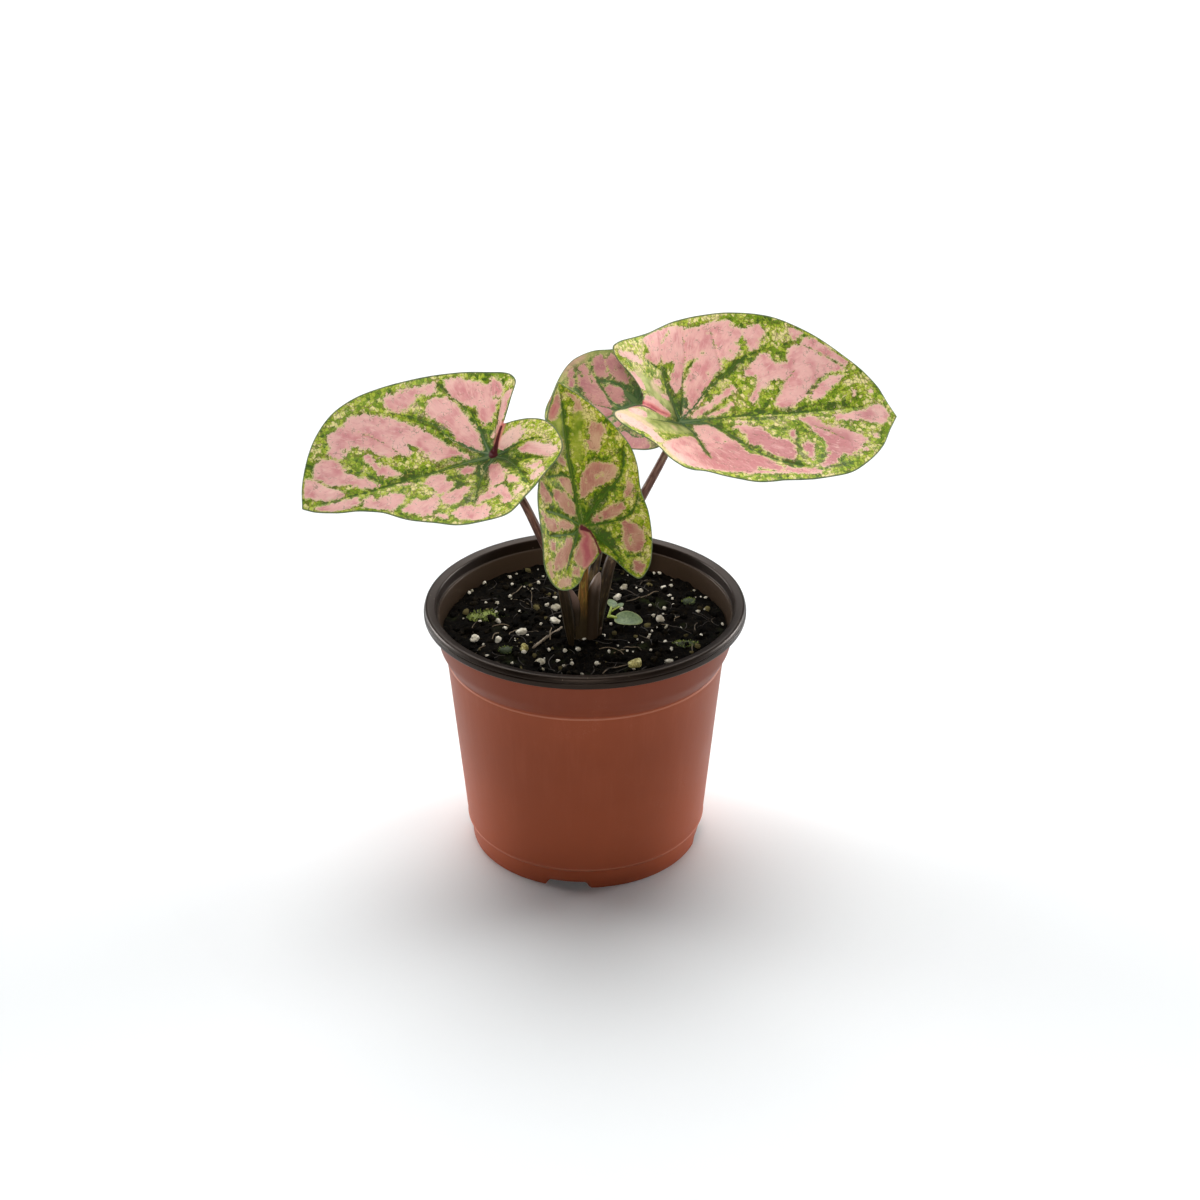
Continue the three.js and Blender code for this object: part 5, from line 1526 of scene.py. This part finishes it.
FRONT_LEAF = dict(
    finish=YOUNG_LEAF_PAINTED_SHADE_FINISH,
    seed=59,
    stalk_top=(-1.1, -14.0, 120.0),
    azimuth=112, rise=71, roll=17,
    fold=0.34, lift=0.23, skew=-0.05,
    front=-1.0, back=-5.0, skewed=0.0, side=2.0,
    rings=105, spokes=360, under_rings=30,
    stalk=[
        (-0.4, -8.9, 60, 1.6), (-1.2, -9.2, 77.5, 2.5), (-1.0, -9.3, 86, 2.4), (-0.6, -9.7, 93, 1.7),
        (-0.3, -9.9, 99, 1.35), (0, -10.4, 108, 1.2), (-0.5, -12, 116, 1.1),
    ],
    left_edge=[
        (45.7, 0.9), (40.9, 5), (35.7, 8.3), (20.8, 16.2), (12.8, 20.5), (5.5, 22.9), (-2.3, 24.1),
        (-9.2, 23.7), (-14.3, 20.9), (-17.2, 16.7), (-18.2, 11.4), (-16.9, 6.2), (-13.6, 2.6),
        (-11.8, -1.3), (-9.2, -4.8),
    ],
    right_edge=[
        (45.7, 0.9), (39.9, -6.6), (33.8, -12.7), (28, -17.1), (22.6, -20), (16.7, -21.1), (9.1, -21),
        (2.2, -22.4), (-4.9, -22.5), (-11, -21.5), (-16.8, -19.3), (-19.9, -15.5), (-17.4, -12.1),
        (-13.5, -9.2), (-11.1, -7.1), (-9.2, -4.8),
    ],
    veins=[
        [(0, 0, 0.6), (10, 0.4, 0.5), (20, 1, 0.6), (32, 1.1, 0.5), (38, 0.8, 0.3), (44.5, 0.9, 0.1)],
        [(-0.5, 1, 0.5), (-1.5, 5, 0.4), (-0.8, 10, 0.4), (0, 15, 0.4), (0.5, 18.5, 0.2)],
        [(1, 1, 0.5), (3.5, 5, 0.4), (5.5, 9, 0.5), (7, 13, 0.5), (8.5, 17, 0.25)],
        [(15.8, 1.2, 0.3), (17.4, 5, 0.5), (17.7, 9, 0.45), (18, 13, 0.25)],
        [(-1, 1.5, 0.5), (-4, 4, 0.45), (-7, 7, 0.4), (-10, 9.5, 0.35), (-13.5, 12, 0.2)],
        [(1, -1, 0.4), (4, -4, 0.4), (8, -8, 0.45), (11, -12, 0.45), (14, -15.5, 0.4), (18, -17, 0.35),
         (23, -18, 0.15)],
        [(0, -1.5, 0.5), (0, -6, 0.35), (0.2, -12, 0.45), (1.5, -16.3, 0.4), (4.5, -18.8, 0.35),
         (9, -20, 0.2)],
        [(-1, -2.5, 0.4), (-5, -5.3, 0.4), (-10, -9, 0.4), (-14, -10.6, 0.2)],
        [(5, -12, 0.12), (7, -16, 0.15), (10, -19.5, 0.1)], [(12, 11.3, 0.3), (16, 14.5, 0.2)],
    ],
    fringes=[
        [(8, 0.5, 0.9), (20, 1, 1.2), (32, 1.2, 1.6), (38, 1, 1.2)],
        [(6, 10, 1.0), (7.5, 13, 1.7), (8.3, 16.5, 1.0)], [(17.5, 5, 1.0), (18, 11, 1.0)],
        [(20.5, 8.5, 1.8), (21, 11, 1.2)], [(12, 12, 0.9), (15.5, 14, 0.9)], [(12.8, 7, 0.9), (15, 9, 0.8)],
        [(3, -3, 0.9), (7, -6, 2.6), (9.5, -9, 2.4), (13, -14, 1.0), (18, -17, 0.9), (24, -18, 0.8)],
        [(0, -6, 0.8), (0.3, -13, 0.9), (2, -17, 1.0), (6, -19.5, 0.8)],
        [(-2, -4.5, 1.3), (-5, -7, 2.3), (-9, -9.5, 1.2), (-12, -10.5, 0.9)],
        [(20, -6, 0.9), (20, -12, 0.8), (22, -17, 0.9)], [(-3, 4, 1.2), (-8, 8, 0.9), (-12, 10.5, 1.2)],
        [(-1, 6, 1.0), (-0.5, 14, 0.8), (2, 20, 0.9)], [(-12.5, -13, 0.7), (-12, -18, 0.8)],
    ],
    patches=[
        [(-11.3, 17), (-10.5, 13), (-9, 10), (-6.5, 8), (-4.5, 6.3), (-2.4, 7), (-2, 9.5), (-4, 12),
         (-4.5, 15), (-6, 17.5), (-8, 19.5), (-10.5, 19.5)],
        [(-4.8, 18), (-4, 20), (-2, 20.5), (-0.8, 18.5), (-2.5, 16.8)],
        [(1.5, 14), (1, 17.5), (3, 19.5), (6, 20.8), (7.3, 19.5), (6, 16.5), (4.5, 14.3), (3.5, 12.3)],
        [(0.5, 6), (0.8, 10), (2.3, 12.5), (4.1, 11.5), (3.9, 8.5), (2.5, 6), (1.2, 4.3)],
        [(3.8, 2), (5.5, 6), (8.3, 9.5), (11, 11), (13.5, 11), (13.3, 9), (12, 6), (10, 4.5), (8.5, 2.6),
         (6.5, 1.7)],
        [(10.5, 2), (12, 4.5), (14, 6.2), (16.6, 7.6), (17, 5.5), (15.8, 2.5), (14, 1.8)],
        [(10.3, 13.8), (11, 17), (14, 19), (16.8, 18.4), (17.2, 16.3), (14, 14.3), (11.5, 12.8)],
        [(20, 3.3), (21, 6), (23, 7.5), (24.1, 6), (22.5, 4), (21, 2.7)],
        [(34.8, 5), (35, 8.2), (36.5, 8.3), (39, 6), (42.2, 2.6), (41.5, 1.2), (38.5, 1.4), (36, 3)],
        [(36, -3), (38.5, -3.4), (42.2, -1.3), (41.2, -3.6), (38, -5.7), (36, -5.5)],
        [(9, -1.3), (13, -1.5), (16.5, -3), (18.5, -5.5), (20, -8), (18.6, -10), (18, -13.5), (15.5, -15),
         (13.3, -12.5), (11.6, -9.5), (11.6, -6.5), (10.5, -4), (8.8, -2.5)],
        [(22.5, -9), (23.5, -6.5), (26, -5.8), (27, -8), (29, -7), (31.6, -8.5), (31, -11.5), (28.5, -12.5),
         (26, -10.5), (23.5, -10.2)],
        [(1, -4), (2.5, -4.3), (3.8, -7.5), (5.5, -12), (6, -14.5), (4, -15), (2, -12), (1.2, -8.5),
         (0.5, -5.5)],
        [(7, -15.5), (9.5, -15.6), (12.6, -18), (10, -18.7), (7.5, -17.7)],
        [(-10.5, -13.5), (-8, -12.3), (-4, -13.5), (-1, -13), (-0.2, -14.5), (-1.5, -17), (-4, -19.5),
         (-8, -19.5), (-10.7, -17.5), (-11, -15.5)],
        [(-18.2, -14.5), (-16, -13.5), (-14, -14.5), (-14.5, -16.5), (-16, -18.2), (-17.7, -17)],
        [(-13.5, 1), (-12, 5), (-9, 6.6), (-6.5, 4.6), (-4.3, 1.5), (-3, -1.5), (-5, -3.3), (-9, -3.8),
         (-10.8, -1.5)],
        [(-14.8, 6), (-14, 9), (-12, 7.6), (-11.4, 5.2)],
        [(-17, 11), (-16.7, 17), (-14.5, 18), (-13.9, 14), (-15, 10)],
    ],
    pink=[
        [(2.5, 11, 0.6), (2, 14, 0.6)], [(-12, 21, 0.8), (-8, 21.5, 0.8)], [(22, 12.5, 0.8), (20, 15, 1)],
        [(25, 3.5, 0.7), (28, 4, 0.9)], [(3, -17.5, 0.3)], [(8, 20.5, 0.7)],
    ],
    specks=[
        [(14.2, -7.5, 0.3), (15.3, -9, 0.5)], [(-8, -14.8, 0.4), (-6, -15.2, 0.4)],
        [(2, 13, 0.5), (4, 13.6, 0.4)], [(14.2, -3.8, 0.3)], [(2, -6.5, 0.4)], [(8, 5, 0.3)],
        [(-9.5, 17, 0.3)],
    ],
    pale=[
        [(-17, 12, 1.5), (-15, 19, 1.8), (-8, 22.5, 1.2), (0, 22.5, 1)], [(-3.5, 14, 1.4)],
        [(12, -18.5, 1.8), (18, -19.3, 1.2)], [(22.5, -12.5, 1.6), (28, -13.5, 1.2)], [(16, -14, 1.5)],
        [(35, -8, 1.5), (39, -5, 1)], [(-19, -15, 1)], [(7, 1.4, 0.6)], [(19, 4, 0.8)], [(4, 17, 0.5)],
        [(0, -19, 2), (-5, -20.5, 1)], [(10, 20, 1.5)], [(26, -9, 2.0)], [(14, -11, 1.6)], [(5, -17, 1.0)],
        [(-10, 13, 1.0)], [(13, 3.5, 1.2)], [(25, 7, 2.5)], [(37, -3, 1)],
    ],
    calm=[[(22, -2, 0.5), (28, -2.5, 1.0), (34, -4, 1.0)], [(25, 4, 0.5), (33, 4, 1.5)]],
    deep=[],
    red=[
        [(-12, 2.5, 0.2), (-9.5, 0.6, 1.3), (-6, 0.6, 1.2), (-3.5, -1.2, 0.6), (-1, 0, 0.4)],
        [(36.5, 6, 0.1), (38.5, 3.8, 0.1)],
    ],
    maroon=[[(-9.3, -4.4, 0.25), (-5, -3.6, 0.15), (-2, -2.6, 0.2), (-0.3, 0, 0.7)]],
)
BACK_LEAF = dict(
    finish=BACK_LEAF_FINISH,
    seed=73,
    stalk_top=(16.9, 28.0, 144.0),
    azimuth=168, rise=8, roll=-38,
    fold=0.3, lift=0.6, skew=0.0,
    front=-6.0, back=-6.0, skewed=0.0, side=0.0,
    rings=80, spokes=280, under_rings=24,
    stalk=[
        (-0.3, -5, 60, 1.5), (-0.4, -5.4, 77.5, 2.3), (1.1, -4.4, 90, 2.0), (3.6, -1.9, 102.4, 1.6),
        (8, 8.6, 120, 1.2), (12.2, 19, 132.5, 1.1),
    ],
    left_edge=[
        (28.4, 3), (28.8, 8), (27.6, 12.6), (23.5, 16.2), (16.5, 18.4), (9, 20), (2, 21.7), (-4, 23),
        (-9.5, 24), (-14, 22.5), (-15.5, 17), (-13.5, 10.5), (-10, 5), (-6, -1),
    ],
    right_edge=[
        (28.4, 3), (27.8, -3), (26.4, -8), (24.4, -11.4), (21.6, -13.6), (17.8, -15.4), (13, -16.3),
        (7, -17.5), (0, -18.5), (-7, -17), (-12, -12.5), (-12.5, -7.5), (-9.5, -3.5), (-6, -1),
    ],
    veins=[
        [(0, 0, 0.7), (4, 2.4, 0.5), (8, 1.3, 0.35), (12, -2.6, 0.3), (16, -7, 0.3), (19, -10.5, 0.12)],
        [(1, -1, 1.2), (4, -2.6, 0.9), (6, -4.6, 0.4), (10, -6, 0.35), (13, -5.4, 0.2), (15, -6.6, 0.1)],
        [(0, 0, 0.5), (5, 4, 0.3), (13, 3.5, 0.2), (19, 0.5, 0.3), (21.5, -3, 0.2), (23, -8.5, 0.15)],
        [(0, 0, 0.5), (8, 8, 0.4), (16, 11, 0.3), (24, 10, 0.1)],
        [(0, 0, 0.5), (1, -8, 0.3), (4, -15, 0.1)],
        [(0, 0, 0.5), (2, 8, 0.3), (4.5, 16, 0.2), (1, 13.5, 0.3), (-3, 17, 0.35), (-6.5, 18, 0.1)],
        [(0, 0, 0.6), (-5, 8, 0.4), (-9, 17, 0.1)], [(0, 0, 0.6), (-5, -7, 0.4), (-8, -13, 0.1)],
    ],
    fringes=[
        [(1, -1, 2.2), (4, -2, 1.4)], [(8, -5.4, 0.9), (13, -5.8, 1.1)], [(18.5, 0, 1.2), (21, -2, 1.0)],
        [(20, -6, 0.6), (22.5, -8, 0.9)],
    ],
    patches=[
        [(6, 10), (8, 9), (10, 6.5), (13, 4.5), (16, 2), (18.3, 0.2), (20.4, -3.5), (22.3, -8), (21, -10.6),
         (19.5, -9.2), (16.6, -6.2), (13, -2.6), (8.6, 1.9), (7.3, 5), (6.3, 7.5)],
        [(4.2, -1.5), (5, 1.3), (7.6, 0.7), (10, -1.2), (11.9, -3.4), (10.5, -4.8), (7, -4.1), (5, -3.4)],
        [(5, -6), (8, -6.6), (11, -9), (13.4, -12.5), (12.4, -14.8), (10, -14), (7, -11), (5, -8)],
        [(11.6, -7.4), (14, -6.4), (16.2, -8.3), (18, -12), (17.4, -13.8), (15.4, -14), (14, -12),
         (12.8, -10)],
        [(21.8, -1.6), (23.4, -2), (24.4, -6), (23.9, -9), (23, -7)],
        [(23, 12.4), (26.6, 9), (28, 5), (27, 1), (25.6, -0.8), (24, 3), (23, 8)],
        [(-13, 26), (-4, 26), (4, 24), (9, 21.4), (6, 15.4), (0.6, 13.6), (-3, 16.6), (-8, 18.4)],
        [(5, 16), (10, 17.4), (16, 14.6), (18, 12.4), (12, 11.2), (7, 10)],
        [(2, -8), (4.4, -14), (0, -16.4), (-6, -15), (-6.6, -10), (-2, -9)],
        [(-11, 10), (-8, 11.6), (-8, 16), (-11.6, 19), (-13, 14)],
    ],
    pink=[[(2, 5, 0.7), (3, 9, 1.0), (5.5, 13, 0.8)], [(-1, 8, 0.6), (-3, 13, 1.4)]],
    specks=[[(16, -4.6, 0.3), (18, -7, 0.3)], [(14.5, 1.6, 0.4)], [(9.5, -10.2, 0.3)]],
    pale=[[(22, -12, 1.5), (26, -8, 1.2)]],
    calm=[[(14, -16.5, 1.2), (20, -14.5, 1.4), (25.6, -10.5, 1.2), (28.5, -4, 1.0)]],
    deep=[],
    red=[[(25.5, 9, 0.5), (26.6, 4, 0.5)]],
    maroon=[],
)
LEAVES = {"left": LEFT_LEAF, "right": RIGHT_LEAF, "front": FRONT_LEAF, "back": BACK_LEAF}

# Masks on a blade: how far outside its strokes each starts, how far inside it is full, and how full.
MASKS = {
    "pale": (-2.0, 1.2, 1.0),
    "calm": (-3.0, 1.0, 1.0),
    # deep marks painted shade.
    "deep": (-4.0, 2.0, 1.0),
    "red": (-2.2, 1.3, 0.9),
    "maroon": (-0.9, 0.5, 1.0),
}


def leaf_axes(leaf):
    """Directions of a leaf: towards its tip, towards its left side, and up from its face."""
    around, up, turn = np.radians((leaf["azimuth"], leaf["rise"], leaf["roll"]))
    to_tip = np.array([np.cos(up) * np.cos(around), np.cos(up) * np.sin(around), np.sin(up)])
    upright = np.array([-np.sin(up) * np.cos(around), -np.sin(up) * np.sin(around), np.cos(up)])
    to_left = np.cos(turn) * np.cross(upright, to_tip) + np.sin(turn) * upright
    return to_tip, to_left, np.cross(to_tip, to_left)


def blade_points(leaf, flat):
    """Bends flat places (u, v) to their places in space."""
    to_tip, to_left, up = leaf_axes(leaf)
    length = np.hypot(flat[:, 0], flat[:, 1])
    angle = np.arctan2(flat[:, 1], flat[:, 0])
    ahead, aside = np.cos(angle), np.sin(angle)
    behind = ((1 - ahead) / 2) ** 2
    slope = leaf["fold"] * aside**2 + leaf["lift"] * behind + leaf["skew"] * aside * behind
    curl = leaf["front"] * (1 + ahead) / 2 + leaf["back"] * (1 - ahead) / 2
    curl = curl + leaf["skewed"] * aside + leaf["side"] * aside**2
    bend = np.where(np.abs(curl) < 1e-4, 1e-7, curl * MM)
    reach = (np.sin(slope + bend * length) - np.sin(slope)) / bend
    height = (np.cos(slope) - np.cos(slope + bend * length)) / bend
    spread = (reach * ahead)[:, None] * to_tip + (reach * aside)[:, None] * to_left
    return np.array(leaf["stalk_top"]) + spread + height[:, None] * up


def blade_normals(leaf, flat, step=0.05, hub=1.5):
    """Normals of the bent blade, eased within the hub to the leaf's own upward direction."""
    here = blade_points(leaf, flat)
    along = blade_points(leaf, flat + (step, 0)) - here
    aside = blade_points(leaf, flat + (0, step)) - here
    normals = np.cross(along, aside)
    normals /= np.linalg.norm(normals, axis=1)[:, None]
    share = np.clip(np.hypot(flat[:, 0], flat[:, 1]) / hub, 0, 1)[:, None]
    normals = normals * share + leaf_axes(leaf)[2] * (1 - share)
    return normals / np.linalg.norm(normals, axis=1)[:, None]


def measure_blade(leaf, flat, rim):
    """What the paint and the relief need at flat places: distances in millimetres, and masks."""
    margin = np.column_stack([rim[::3], np.zeros(len(rim[::3]))])
    margin = np.vstack([margin, margin[:1]])
    from_stalk = np.hypot(flat[:, 0], flat[:, 1])
    sinus = np.arctan2(*leaf["left_edge"][-1][::-1])
    around = (np.arctan2(flat[:, 1], flat[:, 0]) - sinus) % FULL_TURN
    vein = reach_inside(flat, leaf["veins"])
    fringe = np.maximum(reach_inside(flat, leaf["fringes"]), vein)
    pink = np.maximum(reach_inside(flat, leaf["pink"]), reach_within(flat, leaf["patches"]))
    pink = np.minimum(pink, -reach_inside(flat, leaf["specks"]))
    measures = dict(
        flat_place=np.column_stack([flat, np.zeros(len(flat))]) + leaf["seed"] * 7.0,
        fan_place=np.column_stack([around * 14, from_stalk * 0.11, np.full(len(flat), leaf["seed"])]),
        pink_gap=np.clip(pink, -8, 6),
        vein_gap=np.clip(vein, -9, 3),
        fringe_gap=np.clip(fringe, -9, 3),
        rim_gap=-reach_inside(flat, [margin]),
        stalk_gap=from_stalk,
    )
    for name, (start, end, full) in MASKS.items():
        measures[name] = smooth_step(reach_inside(flat, leaf[name]), start, end) * full
    return measures


def blade_relief(leaf, flat, share, side, measures):
    """How far the upper face, side 1, or the lower, side -1, stands off the bent middle surface.

    The quilting between the veins fades at the margin, which waves."""
    vein, gap, from_stalk = (measures[name] for name in ("vein_gap", "rim_gap", "stalk_gap"))
    spot = np.column_stack([flat, np.zeros(len(flat))])
    swell = QUILT_HEIGHT * smooth_step(-vein, 0.2, 4.0) * smooth_step(gap, 0, 3)
    swell = swell - VEIN_DEPTH * smooth_step(vein, -0.9, 0.1)
    swell = swell + roughness_of(spot, [(13, 0.4), (5, 0.12)], leaf["seed"]) * smooth_step(from_stalk, 2, 12)
    wave = roughness_of(spot, [(17, 0.7), (8, 0.22)], leaf["seed"] + 9) * share**5
    relief = (swell + wave) * smooth_step(from_stalk, 0, 3)
    if side < 0:
        rib = smooth_step(vein, -0.8, 0.4) * VEIN_RIB * (1 - 0.6 * smooth_step(from_stalk, 3, 40))
        relief = relief - rib * smooth_step(gap, 0.5, 4)
    return relief + side * (BLADE_THICKNESS / 2 - np.where(share > 0.999, HEM_ROUNDING, 0.0))


def build_blade(label, leaf):
    """Both faces on rings of points from the stalk to the margin, and the hem between them."""
    spokes = leaf["spokes"]
    left = smooth_curve(leaf["left_edge"], spokes // 2 + 1, spacing=2)
    right = smooth_curve(leaf["right_edge"], spokes // 2 + 1, spacing=2)[::-1]
    rim = np.vstack([left, right[1:-1]])
    points, values, faces, finish_of = [], [], [], []
    start = 0
    for side, rings in ((1, leaf["rings"]), (-1, leaf["under_rings"])):
        shares = np.linspace(0, 1, rings + 1)[1:]
        flat = np.vstack([[[0.0, 0.0]]] + [rim * share for share in shares])
        share = np.r_[0, np.repeat(shares, spokes)]
        measures = measure_blade(leaf, flat, rim)
        relief = blade_relief(leaf, flat, share, side, measures)
        points.append(blade_points(leaf, flat) + relief[:, None] * blade_normals(leaf, flat))
        values.append(measures)
        made = [[start, start + 1 + i, start + 1 + (i + 1) % spokes] for i in range(spokes)]
        made += [[a, d, c, b] for a, b, c, d in ring_faces(rings, spokes, start + 1)]
        faces += made if side > 0 else [face[::-1] for face in made]
        finish_of += [0 if side > 0 else 1] * len(made)
        start += len(flat)
    top_rim, low_rim = 1 + (leaf["rings"] - 1) * spokes, start - spokes
    for i in range(spokes):
        j = (i + 1) % spokes
        faces.append([top_rim + j, top_rim + i, low_rim + i, low_rim + j])
        finish_of.append(0)
    merged = {name: np.concatenate([part[name] for part in values]) for name in values[0]}
    shape = Shape(np.vstack(points), faces, **merged)
    finishes = [leaf["finish"], UNDERSIDE_FINISH]
    make_piece(f"blade_{label}", shape, finishes, [f"leaf_blade_{label}"], finish_of)


for label, leaf in LEAVES.items():
    build_blade(label, leaf)

# ---- Stalks, shoot, scale and tuber ----

SHOOT = [
    (1.9, -9.2, 60, 1.5), (2.1, -9.4, 77.5, 2.3), (2.3, -9.2, 86, 2.2), (2.7, -9, 92, 2.0),
    (3.3, -8.8, 96.4, 1.8), (4.2, -8.4, 99.4, 1.1), (4.7, -8.2, 100.8, 0.4),
]
OLD_LEAF_BASE = [
    (-2.6, -11.4, 84, 0.8), (-2.9, -11.8, 89, 1.5), (-3.4, -12.4, 93, 1.6), (-4.5, -12.8, 96.4, 1.1),
    (-5.4, -13.0, 98.6, 0.3),
]
DRY_SCALE = [(4.9, -8.9, 76, 0.75), (4.9, -8.9, 78.6, 0.75), (5.2, -8.8, 81.4, 0.2)]


def build_stalk(label, leaf, number):
    """A faintly ribbed stalk with a groove. The left one carries the membrane of an old leaf base."""
    top, up = np.array(leaf["stalk_top"]), leaf_axes(leaf)[2]
    joint = [(*(top - up * 2.6), 1.1), (*(top - up * 1.5), 1.25)]

    def ribbed(angles, along):
        ribs = 0.035 * np.cos(7 * angles + 2 * along) + 0.02 * np.cos(13 * angles)
        from_groove = (angles - 1.5 - number) % FULL_TURN - np.pi
        return 1 + ribs - 0.1 * np.exp(-(from_groove**2) / 0.2)

    def thin(angles, along):
        return 1 / np.hypot(np.cos(angles), np.sin(angles) * 4)

    shape = rod(leaf["stalk"] + joint, 36, 130, ribbed, tone=0.35 + 0.12 * number)
    if label == "left":
        shape = join_shapes([shape, rod(OLD_LEAF_BASE, 36, 60, thin, tone=2.0)])
    finish = YOUNG_STALK_FINISH if label == "front" else STALK_FINISH
    make_piece(f"stalk_{label}", shape, [finish], [f"leaf_stalk_{label}"])


def build_shoot():
    def rolled(angles, along):
        """The outer edge of the rolled leaf overlaps itself in a seam that winds up the shoot."""
        return 0.9 + 0.16 * ((angles - 2.2 - 1.2 * along) % FULL_TURN) / FULL_TURN

    make_piece("shoot_rolled", rod(SHOOT, 48, 90, rolled), [SHOOT_FINISH], ["new_leaf_shoot"])


def build_dry_scale():
    def flattened(angles, along):
        return 1 - 0.45 * np.abs(np.sin(angles)) + 0.06 * np.cos(9 * angles)

    scale = rod(DRY_SCALE, 28, 30, flattened)
    make_piece("scale_leaf", scale, [SHOOT_FINISH], ["dry_scale_leaf"])


for number, (label, leaf) in enumerate(LEAVES.items()):
    build_stalk(label, leaf, number)
build_shoot()
build_dry_scale()

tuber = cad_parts["tuber_with_roots"]
if not tuber.material_slots:
    tuber.data.materials.append(TUBER_FINISH)
for holder in tuber.material_slots:
    holder.link = "OBJECT"
    holder.material = TUBER_FINISH
